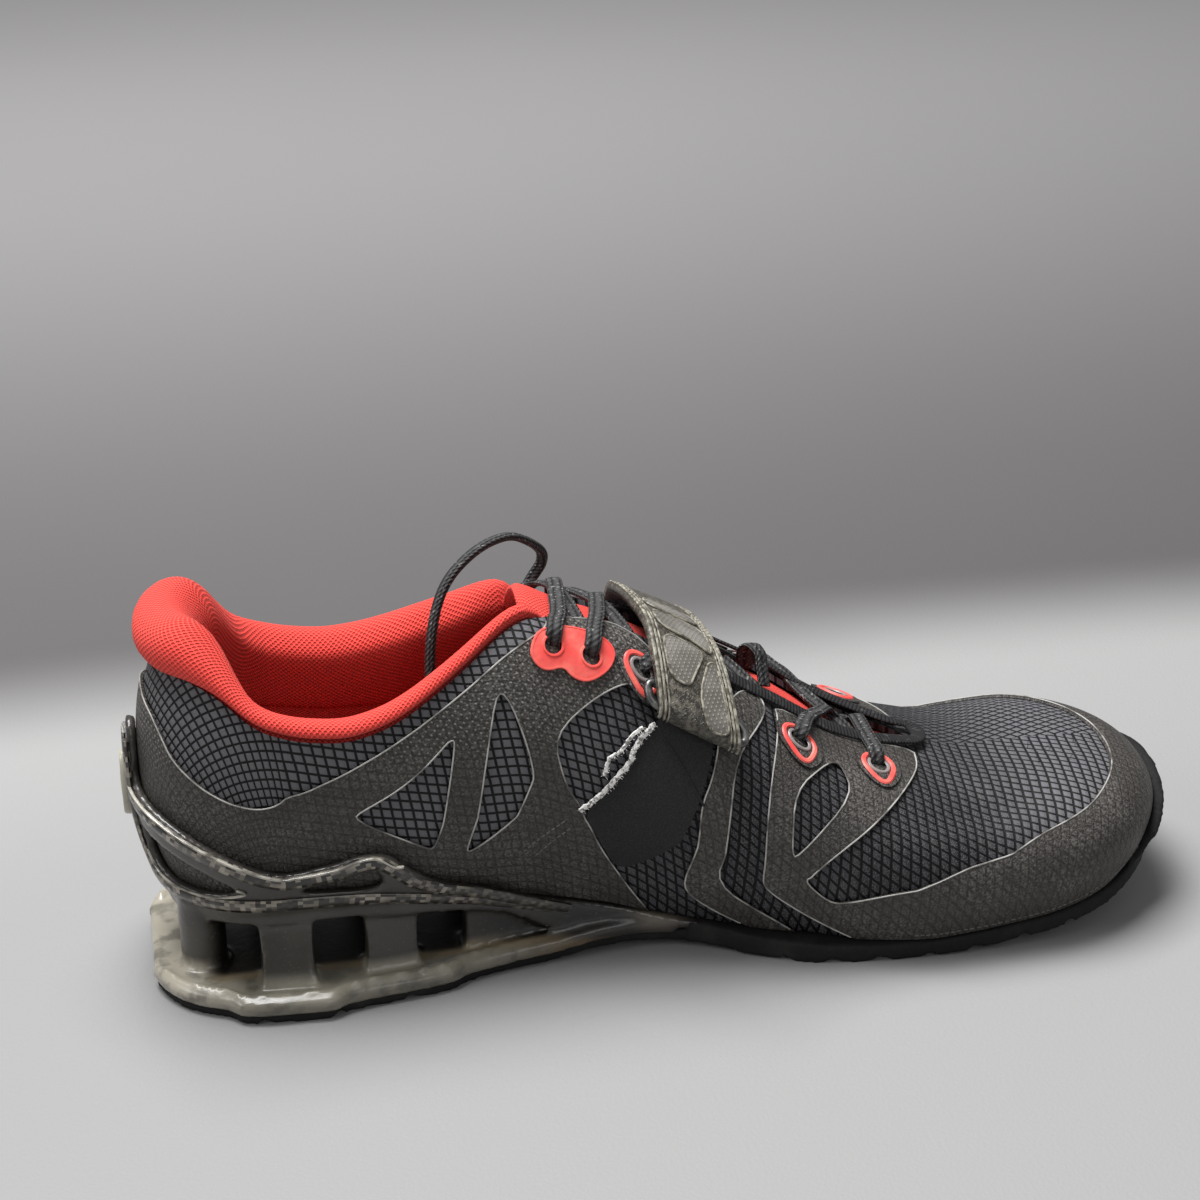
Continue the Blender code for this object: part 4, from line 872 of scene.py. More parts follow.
# Panels of smooth black webbing cloth hold the strap on both sides. The one on the medial side
# has torn loose along its rear edge, where a white frayed backing shows.
ANCHOR = [(1.402, 1.03), (1.458, 1.22), (1.495, 1.42), (1.520, 1.58), (1.580, 1.60),
          (1.584, 1.50), (1.571, 1.34), (1.558, 1.20), (1.530, 0.98), (1.497, 0.74), (1.464, 0.54),
          (1.447, 0.52), (1.430, 0.70), (1.411, 0.94)]
TORN_EDGE = [(1.395, 1.04), (1.422, 1.11), (1.445, 1.19), (1.463, 1.26), (1.476, 1.35),
             (1.490, 1.42), (1.502, 1.48)]
TORN_STRAND = [(1.430, 1.20), (1.438, 1.27), (1.455, 1.31), (1.470, 1.38), (1.486, 1.44)]
ANCHOR_SEAM = [(1.515, 1.44), (1.535, 1.36), (1.552, 1.27), (1.565, 1.20)]
PANEL_TOP = 0.0012


def chart_path(line, steps, side=1):
    """Smooth curve through corners of (along, up), on the medial side where side is -1."""
    return through([(side * along, up, 0.0) for along, up in line], steps)


webbing = Finish("anchor_cloth", (0.026, 0.026, 0.027), 0.7, Specular_IOR_Level=0.2)
thread = webbing.noise(2400.0, 2.0)
webbing.paint(webbing.step(thread, 0.4, 0.75), (0.020, 0.020, 0.0205), (0.036, 0.035, 0.035))
webbing.emboss(thread, 0.0003)
for side, word in ((-1, "medial"), (1, "lateral")):
    panel = softened(ANCHOR if side > 0 else mirrored(ANCHOR))
    set_piece(on_upper(panel, [], FILM_LOW, PANEL_TOP), "anchor_cloth_" + word, webbing,
              ["anchor_panel_" + word])
seams = bmesh.new()
for side in (-1, 1):
    seam = [(side * along, up) for along, up in ANCHOR_SEAM]
    join_to(seams, edge_line(seam, PANEL_TOP, 0.0008, closed=False))
set_piece(seams, "anchor_seams", webbing)

torn = Finish("torn_backing", (0.72, 0.71, 0.69), 0.8)
fibre = torn.noise(900.0, 3.0)
torn.paint(torn.step(fibre, 0.45, 0.62), (0.80, 0.79, 0.77), (0.22, 0.21, 0.20))
torn.emboss(fibre, 0.0006)
rough = random.Random(5)
fray = bmesh.new()
for strand, width in ((TORN_EDGE, 0.0016), (TORN_STRAND, 0.0011)):
    path = chart_path(strand, 6, -1)
    points = [surface(point.x, point.y, PANEL_TOP + 0.0006 + rough.uniform(-0.0001, 0.0003))
              + Vector((rough.uniform(-1, 1), 0.0, rough.uniform(-1, 1))) * 0.00022
              for point in path]
    lifts = [normal_at(point.x, point.y) for point in path]
    join_to(fray, cord_body(points, lifts, width, 0.0009, 8))
    for point, lift in zip(points, lifts):
        for _ in range(2):
            way = Vector((rough.uniform(-1, 1), -0.4, rough.uniform(-1, 1))).normalized()
            hair = [point, point + way * 0.0007, point + way * 0.0013 + lift * 0.0003]
            join_to(fray, cord_body(hair, [lift] * 3, 0.00016, 0.00016, 3))
set_piece(fray, "torn_edge", torn)


# The eyelets are shields of coral film welded at the throat's edge. Each has a moulded line and a
# pale ring round a punched hole, and the two at the top of each side share one patch.
EYELET_LOW = 0.0013
EYELET_TOP = 0.0024
EYELET_LINE = 0.0020
EYELET_WIDTH = 0.013
EYELET_HOLE = 0.0028
EYELET_ROWS = (("top", 1.373, 1.78), ("second", 1.424, 1.72), ("third", 1.494, 1.73),
               ("fourth", 1.715, 1.77), ("fifth", 1.832, 1.80))
TOP_SHIELD = [(1.340, 1.78), (1.360, 1.90), (1.427, 1.87), (1.460, 1.79), (1.450, 1.67),
              (1.418, 1.59), (1.395, 1.61), (1.385, 1.67), (1.360, 1.65), (1.345, 1.70)]


def ring_of(along, up, reach, corners, point=1.0):
    """Corners round a place on the upper, reach metres from it, drawn to a point below."""
    step = LENGTH * (TOE_PIVOT - HEEL_PIVOT)
    rise = (skin(along, up + 0.05) - skin(along, up - 0.05)).length / 0.1
    ring = []
    for i in range(corners):
        turn = math.tau * i / corners + math.pi / 2
        drop = reach * math.sin(turn)
        if drop < 0:
            drop *= 1 + (point - 1) * abs(math.sin(turn)) ** 3
        ring.append((along + reach * math.cos(turn) / step, up + drop / rise))
    return ring


coral = Finish("eyelet_film", (0.78, 0.06, 0.045), 0.42)
speck = coral.noise(700.0)
fade = coral.patches(0.35, 0.7, 120.0)
coral.paint(fade, (0.86, 0.075, 0.065), (0.95, 0.19, 0.15))
coral.put("Roughness", 0.35 + speck * 0.2)
coral.emboss(speck, 0.0001)
hazy = Finish("eyelet_haze", (0.20, 0.18, 0.175), 0.35)
hazy.paint(hazy.noise(500.0), (0.16, 0.145, 0.14), (0.34, 0.30, 0.29))
# A near-black finish for the inside of holes: painted shade.
hole_shade = Finish("painted_hole_shade", (0.004, 0.004, 0.004), 0.9)
hole_shade.put("Roughness", 0.8 + hole_shade.noise(300.0) * 0.2)
for side, word in ((-1, "medial"), (1, "lateral")):
    outline = softened(TOP_SHIELD if side > 0 else mirrored(TOP_SHIELD), share=0.25)
    holes = [ring_of(side * along, up, EYELET_HOLE, 20) for _, along, up in EYELET_ROWS[:2]]
    patch = on_upper(outline, holes, EYELET_LOW, EYELET_TOP)
    for hole in holes:
        join_to(patch, edge_line(hole, EYELET_TOP, 0.0009))
    join_to(patch, edge_line(outline, EYELET_TOP - 0.0002, 0.0008))
    set_piece(patch, "eyelet_shields_" + word, coral, ["eyelet_patch_" + word])
    for name, along, up in EYELET_ROWS[2:]:
        outline = ring_of(side * along, up, EYELET_WIDTH / 2, 28, 1.3)
        hole = ring_of(side * along, up, EYELET_HOLE, 20)
        pad = on_upper(outline, [hole], EYELET_LOW, EYELET_TOP - 0.0005)
        set_piece(pad, "eyelet_%s_pad_%s" % (name, word), film)
        inner = ring_of(side * along, up, EYELET_WIDTH * 0.33, 28, 1.55)
        join = edge_line(inner, EYELET_LINE, 0.0016, depth=0.0009)
        set_piece(join, "eyelet_%s_line_%s" % (name, word), coral,
                  ["eyelet_%s_%s" % (name, word)])
        lip = edge_line(hole, EYELET_LINE, 0.0011, depth=0.0007)
        set_piece(lip, "eyelet_%s_lip_%s" % (name, word), hazy)


# The collar is foam under a knit of coral yarn, turned over the upper's edge and stitched. It
# stands up in a high soft roll behind the heel and creases where the roll runs into the sides.
GAP = 0.0004
LINING = 0.0075
SIDE_ROLL = 0.0060
HEEL_ROLL = 0.0160
ROLL_FROM = 0.30
ROLL_OVER = 0.55
COLLAR_END = 1.372
COLLAR_TAPER = 0.050
PROFILE_ROWS = (0.0, 0.4, 0.75, 1.0, 1.2, 1.4, 1.6, 1.78, 1.9, 2.0)


def eased(value):
    """The value held between 0 and 1, with a soft start and end."""
    t = capped(value)
    return t * t * (3 - 2 * t)


def roll_height(along):
    """How far the padded collar stands over the upper's edge."""
    blend = eased((abs(along) - ROLL_FROM) / ROLL_OVER)
    return HEEL_ROLL * (1 - blend) + SIDE_ROLL * blend


def collar_profile(along):
    """Closed outline of the padded collar in the rib's plane."""
    rim = skin(along, 2.0)
    tangent = (rim - skin(along, 1.9)).normalized()
    outwards = rib(along)[1]
    height = roll_height(along)
    share = capped((height - SIDE_ROLL) / (HEEL_ROLL - SIDE_ROLL))
    climb = (tangent * (1 - share) + Vector((0, 0, 1)) * share).normalized()
    flare = (outwards - climb * outwards.dot(climb)).normalized()

    def over(up, out):
        return rim + climb * up + flare * out

    inner = WALL + GAP
    pad = LINING * (1 + 0.5 * share)
    return [
        *(skin(along, up, -inner) for up in PROFILE_ROWS if 1.1 < up < 2),
        skin(along, 2.0, -inner), skin(along, 2.0, -WALL) + climb * 3 * GAP, over(3 * GAP, 0.0),
        over(4 * GAP, 0.001 + 0.0015 * share),
        over(height * 0.4, 0.002 + 0.003 * share), over(height * 0.8, 0.0012 + 0.0022 * share),
        over(height, -0.3 * pad), over(height * 0.8, -0.8 * pad),
        over(0.1 * height, -inner - 0.95 * pad), skin(along, 1.6, -inner - pad * 0.75),
        skin(along, 1.2, -inner - pad * 0.3),
    ]


def knit_of(name, bright, pinhole_shade, pitch, depth):
    """Knit of coral yarn with rows of small pinholes, painted darker inside as painted shade."""
    knit = Finish(name, bright, 0.85, Specular_IOR_Level=0.15, Sheen_Weight=0.12,
                  Sheen_Tint=(1.0, 0.5, 0.45))
    u, v, _ = knit.parts(knit.cloth())
    a = u.math("PINGPONG", pitch / 2)
    b = v.math("PINGPONG", pitch / 2)
    near = (a * a + b * b) ** 0.5
    a, b = pitch / 2 - a, pitch / 2 - b
    hole = near.math("MINIMUM", (a * a + b * b) ** 0.5)
    hole = knit.step(hole, pitch * 0.36, pitch * 0.12)
    yarn = knit.noise(1500.0, 2.0)
    wash = knit.noise(40.0)
    tone = knit.mix(wash, bright, tuple(part * 0.86 for part in bright))
    tone = knit.mix(yarn * 0.3, tone, tuple(min(part * 1.15 + 0.03, 1.0) for part in bright))
    # The pinholes are painted in the darker colour: painted shade in the holes.
    knit.paint(hole * 0.6, tone, pinhole_shade)
    knit.emboss(yarn * 0.25 - hole, depth)
    return knit


def remap(bm, place):
    """Sends each place of the UV map through a rule."""
    uv = bm.loops.layers.uv["UVMap"]
    for face in bm.faces:
        for loop in face.loops:
            loop[uv].uv = place(*loop[uv].uv)


collar_ribs = [along for along in both_sides(FINE_RIBS) if abs(along) < COLLAR_END - 0.01]
collar_ribs = [-COLLAR_END] + collar_ribs + [COLLAR_END]
rings = []
for along in collar_ribs:
    ring = through(collar_profile(along), 3, closed=True)
    near_end = min((COLLAR_END - abs(along)) / COLLAR_TAPER, 1.0)
    grown = max(math.sqrt(near_end * (2 - near_end)), 0.30)
    hub = skin(along, 1.93, -WALL)
    rings.append([hub + (point - hub) * grown for point in ring])
around = len(rings[0])
collar_run = lengths_of([skin(along, 1.9) for along in collar_ribs])
collar = lay_out(collar_run, list(range(around + 1)))
girth = [lengths_of(ring + ring[:1]) for ring in rings]
index_of = {round(run, 6): i for i, run in enumerate(collar_run)}


@lru_cache(maxsize=None)
def collar_index(run):
    return index_of[min(index_of, key=lambda key: abs(key - run))]


remap(collar, lambda run, turn: (run, girth[collar_index(run)][round(turn)]))
for vert in collar.verts:
    vert.co = rings[collar_index(vert.co.x)][round(vert.co.y) % around]
bmesh.ops.remove_doubles(collar, verts=collar.verts, dist=0.00001)
bmesh.ops.holes_fill(collar, edges=[edge for edge in collar.edges if edge.is_boundary], sides=0)
knit = knit_of("collar_knit", (1.0, 0.088, 0.068), (0.42, 0.010, 0.009), 0.0015, 0.0004)
collar_piece = set_piece(collar, "collar_pad", knit, ["collar_lining"], angle=70)


# Below the foam the cloth's inner face is lined with the same knit, glued on from the padded roll
# down to the footbed, so that no bare coating shows through the collar.
LINING_TOP = 1.5
inner_face = lay_out([along for along in both_sides(FINE_RIBS) if abs(along) < 1.80],
                     evenly(0.12, LINING_TOP, 16))
remap(inner_face, chart_metres)
raise_chart(inner_face, -WALL - 0.0007, -WALL - 0.0002, lambda along, up, out: skin(
    along, min(up, LINING_TOP), out))
set_piece(inner_face, "lining_cloth", knit, angle=70)


# The tongue is the same foam and knit, cut flat and sewn in at the throat's end. It lies under the
# laces, thins out at both edges and is rounded at its free end.
TONGUE = 0.0050
TONGUE_SEAT = 2.5 * GAP
TONGUE_ROWS = evenly(1.4, 2.0, 12)[:-1] + evenly(2.0, 3.0, 14)


def on_tongue(along, up, out):
    """Point over the tongue. Up runs from 1.4 at the sides to 3 at the ridge, negative medial."""
    side = -1 if up < 0 else 1
    if abs(up) <= 2:
        return skin(side * along, abs(up), out)
    medial, lateral = (by_side("open", end * along, rib(along)[3]) for end in (-1, 1))
    share = (abs(up) - 2) / 2
    share = share if side < 0 else 1 - share
    return instep(along, medial + (180 - lateral - medial) * share, out)


tongue_rows = [-up for up in TONGUE_ROWS] + list(reversed(TONGUE_ROWS[:-1]))
tongue_alongs = evenly(TONGUE_START, TONGUE_END, 60)
tongue = lay_out(tongue_alongs, evenly(0.0, 1.0, len(tongue_rows) - 1))


def tongue_row(share):
    return tongue_rows[round(share * (len(tongue_rows) - 1))]


def tongue_thick(along, share):
    """Thickness of the foam, which closes to the edges and the free end."""
    side = min(share, 1 - share) / 0.10
    end = (along - TONGUE_START) / 0.03
    pinch = min(side, 1.0) * (2 - min(side, 1.0))
    close = min(end, 1.0) * (2 - min(end, 1.0))
    return max(max(pinch * close, 0.0) ** 0.5, 0.16)


remap(tongue, lambda along, share: (along * 0.2, share * 0.085))
tongue_outer = doubled(tongue)
tongue_top = -WALL - TONGUE_SEAT
for vert in tongue.verts:
    along, share = vert.co.x, vert.co.y
    half = TONGUE / 2 * tongue_thick(along, share)
    middle = tongue_top - TONGUE / 2
    vert.co = on_tongue(along, tongue_row(share), middle + (half if vert in tongue_outer else -half))
tongue_piece = set_piece(tongue, "tongue_pad", knit, ["tongue"], angle=70)


# The footbed is foam under a dark red cloth, worn darker in patches where the foot stands. It keeps
# the shape of its CAD solid.
footbed = Finish("footbed_cloth", (0.20, 0.015, 0.014), 0.9)
nap = footbed.noise(1200.0, 3.0)
wear = footbed.patches(0.45, 0.7, 25.0)
footbed.paint(wear, (0.22, 0.016, 0.015), (0.10, 0.012, 0.012))
footbed.emboss(nap, 0.0004)
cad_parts["insole"].data.materials.clear()
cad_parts["insole"].data.materials.append(footbed.material)


# The outsole is one sheet of matt black rubber, moulded with flex grooves across the tread and
# turned up over the toe tip as a bumper with two raised lines. It is glued under heel and upper.
TREAD = 0.0035
GROOVE_WIDTH = 0.0025
GROOVE_DEPTH = 0.0014
PATCH_SEAT = 0.0020
BUMPER = 0.0022
TRUSS_END = 0.525
SOLE_PLAN = (
    (0.136, 0.424, 0.424), (0.164, 0.430, 0.430), (0.178, 0.406, 0.408), (0.280, 0.360, 0.392),
    (0.296, 0.330, 0.374), (0.383, 0.290, 0.376), (0.464, 0.272, 0.400), (0.522, 0.302, 0.440),
    (0.576, 0.376, 0.476), (0.637, 0.440, 0.512), (0.705, 0.452, 0.528), (0.760, 0.448, 0.520),
    (0.814, 0.440, 0.498))
SOLE_HEEL_ROUND = 2.5
SOLE_TOE_ROUND_MEDIAL = 2.3
SOLE_TOE_ROUND_LATERAL = 2.05
NOTCH = 0.075
SOLE_VOXEL = 0.00095
GROOVES = (0.10, 0.17, 0.24, 0.60, 0.645, 0.69, 0.735, 0.78, 0.83, 0.88)
BUMPER_OUTLINE = [(2.50, -0.3), (3.42, -0.3), (3.36, 0.55), (3.20, 1.0), (3.0, 1.15), (2.80, 1.10),
                  (2.62, 0.80), (2.52, 0.3)]
BUMPER_LINE = [(2.54, 0.35), (2.64, 0.78), (2.81, 1.04), (3.0, 1.08), (3.19, 0.95), (3.35, 0.53)]
SOLE_STEP = 0.0012


def tread(x):
    """Height of the sole's underside at x in metres."""
    share = x / LENGTH
    return section("spring", share) * TOE_SPRING + section("arch", share) * ARCH_LIFT


@lru_cache(maxsize=None)
def half_plan(side, x):
    """Half width of the sole at x in metres, rounded off at the heel and the toe."""
    share = x / LENGTH
    column = 1 if side < 0 else 2
    rows = [(row[0], row[column]) for row in SOLE_PLAN]
    if share < HEEL_PIVOT:
        reach = 1 - share / HEEL_PIVOT
        lobe = 1 - NOTCH * (0.5 - 0.5 * math.tanh((share - NOTCH) / 0.004)) * (1 - reach ** 4)
        return BALL_WIDTH * smooth(rows, HEEL_PIVOT) * lobe * max(
            1 - reach ** SOLE_HEEL_ROUND, 0) ** (1 / SOLE_HEEL_ROUND)
    if share > TOE_PIVOT:
        reach = (share - TOE_PIVOT) / (1 - TOE_PIVOT)
        roundness = SOLE_TOE_ROUND_MEDIAL if side < 0 else SOLE_TOE_ROUND_LATERAL
        return BALL_WIDTH * smooth(rows, TOE_PIVOT) * max(
            1 - reach ** roundness, 0) ** (1 / roundness)
    return BALL_WIDTH * smooth(rows, share)


@lru_cache(maxsize=None)
def half_upper(side, x):
    """Half width of the upper's feather edge at x in metres, as far as the toe pivot."""
    share = x / LENGTH
    width, tuck = ("medial", "tuck_medial") if side < 0 else ("lateral", "tuck_lateral")
    if share < HEEL_PIVOT:
        trim = BALL_WIDTH * section(tuck, HEEL_PIVOT)
        reach = (HEEL_PIVOT - share) * LENGTH / ((HEEL_PIVOT - HEEL_BACK) * LENGTH - trim)
        half = BALL_WIDTH * section(width, HEEL_PIVOT) - trim
        return half * max(1 - reach ** HEEL_ROUND, 0) ** (1 / HEEL_ROUND)
    return BALL_WIDTH * (section(width, share) - section(tuck, share))


def slab(places, half, inset, top, bottom, across=(-1.0, -0.97, -0.6, 0.0, 0.6, 0.97, 1.0)):
    """Closed plate between two heights, its edge inset from a half width."""
    bm = lay_out(places, list(across))
    upper = doubled(bm)
    for vert in bm.verts:
        x, share = vert.co.x, vert.co.y
        side = -1 if share < 0 else 1
        reach = max(half(side, x) - inset, 0.0008)
        height = top(x) if vert in upper else bottom(x)
        vert.co = (x, ridge_y(x / LENGTH) + share * reach, height)
    bmesh.ops.recalc_face_normals(bm, faces=bm.faces)
    return bm


def close_steps(start, end, step):
    """Places along the sole, closer together where its plan turns."""
    places = evenly(start, end, round((end - start) / step))
    ends = [start + share * 0.04 for share in (0.005, 0.02, 0.05, 0.09, 0.15, 0.22, 0.3)]
    ends += [end - share * 0.05 for share in (0.004, 0.02, 0.06, 0.12, 0.2, 0.3)]
    return sorted(set(places + ends))


def fused(bm, voxel, rounds):
    """One smooth moulding from closed meshes that run into each other."""
    bmesh.ops.recalc_face_normals(bm, faces=bm.faces)
    mesh = bpy.data.meshes.new("parts")
    bm.to_mesh(mesh)
    bm.free()
    parts = bpy.data.objects.new("parts", mesh)
    bpy.context.scene.collection.objects.link(parts)
    remesh = parts.modifiers.new("remesh", "REMESH")
    remesh.mode = "VOXEL"
    remesh.voxel_size = voxel
    relax = parts.modifiers.new("relax", "SMOOTH")
    relax.factor = 0.5
    relax.iterations = rounds
    bpy.context.view_layer.update()
    depsgraph = bpy.context.evaluated_depsgraph_get()
    whole = bpy.data.meshes.new_from_object(parts.evaluated_get(depsgraph))
    bpy.data.objects.remove(parts)
    moulding = bmesh.new()
    moulding.from_mesh(whole)
    bpy.data.meshes.remove(whole)
    return moulding


def underside(x):
    """Height of the tread with its flex grooves at x in metres."""
    in_groove = any(abs(x - share * LENGTH) < GROOVE_WIDTH / 2 for share in GROOVES)
    return tread(x) + (GROOVE_DEPTH if in_groove else 0.0)


def bead(line, side, out, width, depth, corners=8, steps=8, square=0.7):
    """Raised line over the uncreased upper, through corners of (along, up)."""
    path = chart_path(line, steps, side)
    return cord_body([skin(point.x, point.y, out) for point in path],
                     [normal_at(point.x, point.y) for point in path], width, depth, corners,
                     square=square)


sole = slab(close_steps(0.0016, LENGTH * TRUSS_END, SOLE_STEP), half_plan, 0.0010,
            lambda x: tread(x) + TREAD, underside)
join_to(sole, slab(close_steps(LENGTH * TRUSS_END - 0.004, LENGTH - 0.0004, SOLE_STEP), half_plan,
                   0.0, lambda x: feather(x) - GAP - 0.0002, underside))
reach = [along for along, up in BUMPER_OUTLINE]
bumper_ribs = [along for along in FINE_RIBS + [6 - along for along in FINE_RIBS[:-1]]
               if min(reach) < along < max(reach)]
bumper = cut_chart(softened(BUMPER_OUTLINE), [], bumper_ribs, evenly(-0.3, 1.1, 14))
raise_chart(bumper, 0.0009, PATCH_SEAT + BUMPER - 0.0003, skin)
join_to(sole, bumper)
for drop in (0.0, -0.14):
    raised = [(along, up + drop) for along, up in BUMPER_LINE]
    join_to(sole, bead(raised, 1, PATCH_SEAT + BUMPER, 0.0012, 0.0012, 6, 10, 1.0))
rubber = Finish("outsole_rubber", (0.012, 0.012, 0.012), 0.75, Specular_IOR_Level=0.25)
pitted = rubber.noise(900.0, 3.0)
dusty = rubber.patches(0.5, 0.8, 70.0)
rubber.paint(dusty * 0.5, (0.010, 0.010, 0.010), (0.045, 0.043, 0.040))
rubber.put("Roughness", 0.6 + pitted * 0.3)
rubber.emboss(pitted, 0.0003)
set_piece(fused(sole, SOLE_VOXEL, 3), "outsole_rubber", rubber, ["outsole"], angle=60)


# The heel is one smoky moulding, clear at its thin foot plate, where its yellow glow is painted light,
# along with painted highlights and painted shade. Round and flared columns carry a shelf under the
# upper, and a cage with windows climbs round the heel.
PLATE = 0.0030
PLATE_LIP = 0.0009
CARRIER = 0.0068
CAGE = 0.0025
COLUMN_REACH = 0.0030
REAR_COLUMN_RADIUS = 0.0064
CAGE_LINE = [(0.10, 0.86), (0.25, 0.82), (0.40, 0.78), (0.67, 0.62), (0.87, 0.46), (1.00, 0.42),
             (1.05, 0.54), (1.10, 0.70), (1.135, 0.66), (1.155, 0.48), (1.20, 0.20), (1.28, 0.04),
             (1.40, -0.06)]
CAGE_POST = [(0.0, 1.36), (0.07, 1.30), (0.10, 1.10)]
CRESCENT = [(0.12, 0.52), (0.30, 0.50), (0.52, 0.40), (0.75, 0.20), (0.60, 0.12), (0.38, 0.10),
            (0.20, 0.14), (0.13, 0.28)]
TRIANGLE = [(0.99, 0.16), (1.05, 0.30), (1.09, 0.48), (1.118, 0.46), (1.122, 0.14)]
CAGE_FOOT = -0.26
SHELF_RUNS_DOWN = (0.33, 0.43)
TRUSS_VOXEL = 0.0009
TRUSS_STEP = 0.0015
REAR_COLUMN_AT = 0.052
COLUMNS = ((0.101, 0.155, 0.098, 0.157), (0.199, 0.253, 0.196, 0.256),
           (0.294, 0.400, 0.292, 0.400))
REAR_COLUMN = ((0.0, 1.20), (0.09, 1.08), (0.16, 1.0), (0.25, 0.98), (0.4, 0.97), (0.6, 0.97),
               (0.75, 1.0), (0.88, 1.08), (1.0, 1.25))


def plate_bottom(x):
    return tread(x) + TREAD + GAP


def carrier_bottom(x):
    """Underside of the shelf, which runs down to the plate in front of the last column."""
    start, end = (share * LENGTH for share in SHELF_RUNS_DOWN)
    high = feather(x) - CARRIER
    low = plate_bottom(x) + PLATE / 2
    blend = eased((x - start) / (end - start))
    return high if blend == 0 else max(high * (1 - blend) + low * blend, low)


def column_ends(x):
    """Heights of a column's foot in the plate and of its head in the shelf."""
    return plate_bottom(x) + PLATE / 2, feather(x) - GAP * 4


plate_end = LENGTH * TRUSS_END - 2 * GAP
truss = slab(close_steps(0.0010, plate_end, TRUSS_STEP), half_plan, PLATE_LIP,
             lambda x: min(plate_bottom(x) + PLATE, feather(x) - 2 * GAP), plate_bottom)
shelf_start = LENGTH * HEEL_BACK + BALL_WIDTH * section("tuck_medial", 0) - CAGE
join_to(truss, slab(close_steps(shelf_start + 0.0008, plate_end, TRUSS_STEP), lambda side, x: max(
    half_upper(side, max(x, shelf_start)) + CAGE * 0.9, 0.004), 0.0,
    lambda x: feather(x) - GAP, carrier_bottom))
line = CAGE_POST[1:] + CAGE_LINE + [(1.40, CAGE_FOOT)]
cage_windows = [softened(window) for window in (CRESCENT, TRIANGLE, mirrored(CRESCENT),
                                                mirrored(TRIANGLE))]
cage_outline = softened(list(reversed(mirrored(line))) + [CAGE_POST[0]] + line)
cage = cut_chart(cage_outline, cage_windows,
                 [along for along in both_sides(FINE_RIBS) if abs(along) < 1.40],
                 evenly(-0.2, 1.3, 20))
raise_chart(cage, FILM_TOP + 0.0001, PATCH_SEAT + CAGE - 0.0006, skin)
join_to(truss, cage)
for foot_from, foot_to, head_from, head_to in COLUMNS:
    for side in (-1, 1):
        column = lay_out(evenly(0.0, 1.0, 8), [0.0, 1.0])
        inner = doubled(column)
        for vert in column.verts:
            rise, across = vert.co.x, vert.co.y
            low = LENGTH * (foot_from + (foot_to - foot_from) * across)
            high = LENGTH * (head_from + (head_to - head_from) * across)
            waist = (1 - abs(2 * rise - 1) ** 2.5) * 0.0012
            x = low + (high - low) * rise + (waist if across < 0.5 else -waist)
            edge_low, edge_high = half_plan(side, low), half_upper(side, high) + CAGE
            reach = (edge_low - COLUMN_REACH * 2) * (1 - rise) + (
                edge_high - COLUMN_REACH * 0.4) * rise - waist * 1.2
            reach -= COLUMN_REACH * 3 if vert in inner else 0.0
            bottom, top = column_ends(x)
            vert.co = (x, side * reach + ridge_y(round(x, 4) / LENGTH), bottom + (top - bottom) * rise)
        bmesh.ops.recalc_face_normals(column, faces=column.faces)
        join_to(truss, column)
for side in (-1, 1):
    x = REAR_COLUMN_AT * LENGTH
    bottom, top = column_ends(x)
    centre = Vector((x, side * (half_upper(side, x) - REAR_COLUMN_RADIUS * 0.55), 0.0))
    points = [centre + Vector((0, 0, bottom + (top - bottom) * share)) for share, wide in REAR_COLUMN]
    widths = [2 * REAR_COLUMN_RADIUS * wide for share, wide in REAR_COLUMN]
    join_to(truss, cord_body(points, [Vector((1, 0, 0))] * len(points), widths,
                             2 * REAR_COLUMN_RADIUS, 24))
for side in (-1, 1):
    lip_x = close_steps(0.004, LENGTH * 0.43, 0.002)
    lip = [Vector((x, ridge_y(x / LENGTH) + side * (half_plan(side, x) - PLATE_LIP - 0.0026),
                   plate_bottom(x) + PLATE + 0.0002)) for x in lip_x]
    join_to(truss, cord_body(lip, [Vector((0, 0, 1))] * len(lip), 0.0019, 0.0022, 8))
    edge_x = [0.0016, 0.0022, 0.003] + [x for x in close_steps(0.004, LENGTH * 0.50, 0.002)
                                        if x > 0.0035]
    droop = [Vector((x, ridge_y(x / LENGTH) + side * max(half_plan(side, x) - 0.0012, 0.0),
                     plate_bottom(x) + PLATE / 2 - 0.0007)) for x in edge_x]
    join_to(truss, cord_body(droop, [Vector((0, 0, 1))] * len(droop), 0.0022, 0.0046, 10,
                             square=0.8))

moulding = Finish("heel_moulding", (0.05, 0.05, 0.042), 0.35, Coat_Weight=0.35,
                  Coat_Roughness=0.2)
ahead, aside, height = moulding.parts(moulding.place())
cloudy = moulding.noise(55.0, 3.0)
level_of = height + moulding.step(ahead, 0.055, 0.105) * 0.006 + (cloudy - 0.5) * 0.0016
# The plate is painted pale at the rear and darker forward among the columns: painted highlight and
# painted shade, under the plastic's own cloudy and smoky mottling.
clear = moulding.mix(moulding.step(ahead, -0.034, -0.010), (0.42, 0.385, 0.315),
                     (0.17, 0.158, 0.125))
clear = moulding.mix(moulding.step(ahead, 0.0, 0.060) * 0.6, clear, (0.115, 0.105, 0.082))
clear = moulding.mix(moulding.step(cloudy, 0.35, 0.75) * 0.6, clear, (0.27, 0.25, 0.205))
smoky = moulding.noise(170.0, 4.0)
clear = moulding.mix(moulding.step(smoky, 0.46, 0.66) * 0.7, clear, (0.075, 0.069, 0.056))
clear = moulding.mix(moulding.step(ahead, 0.055, 0.090), clear, (0.050, 0.042, 0.034))
# A painted highlight along the plate's raised lip.
painted_rim_highlight = moulding.step(height, 0.0062, 0.0078) * moulding.step(ahead, 0.085, 0.045)
clear = moulding.mix(painted_rim_highlight * moulding.step(cloudy, 0.25, 0.6) * 0.45, clear, (0.36, 0.335, 0.26))
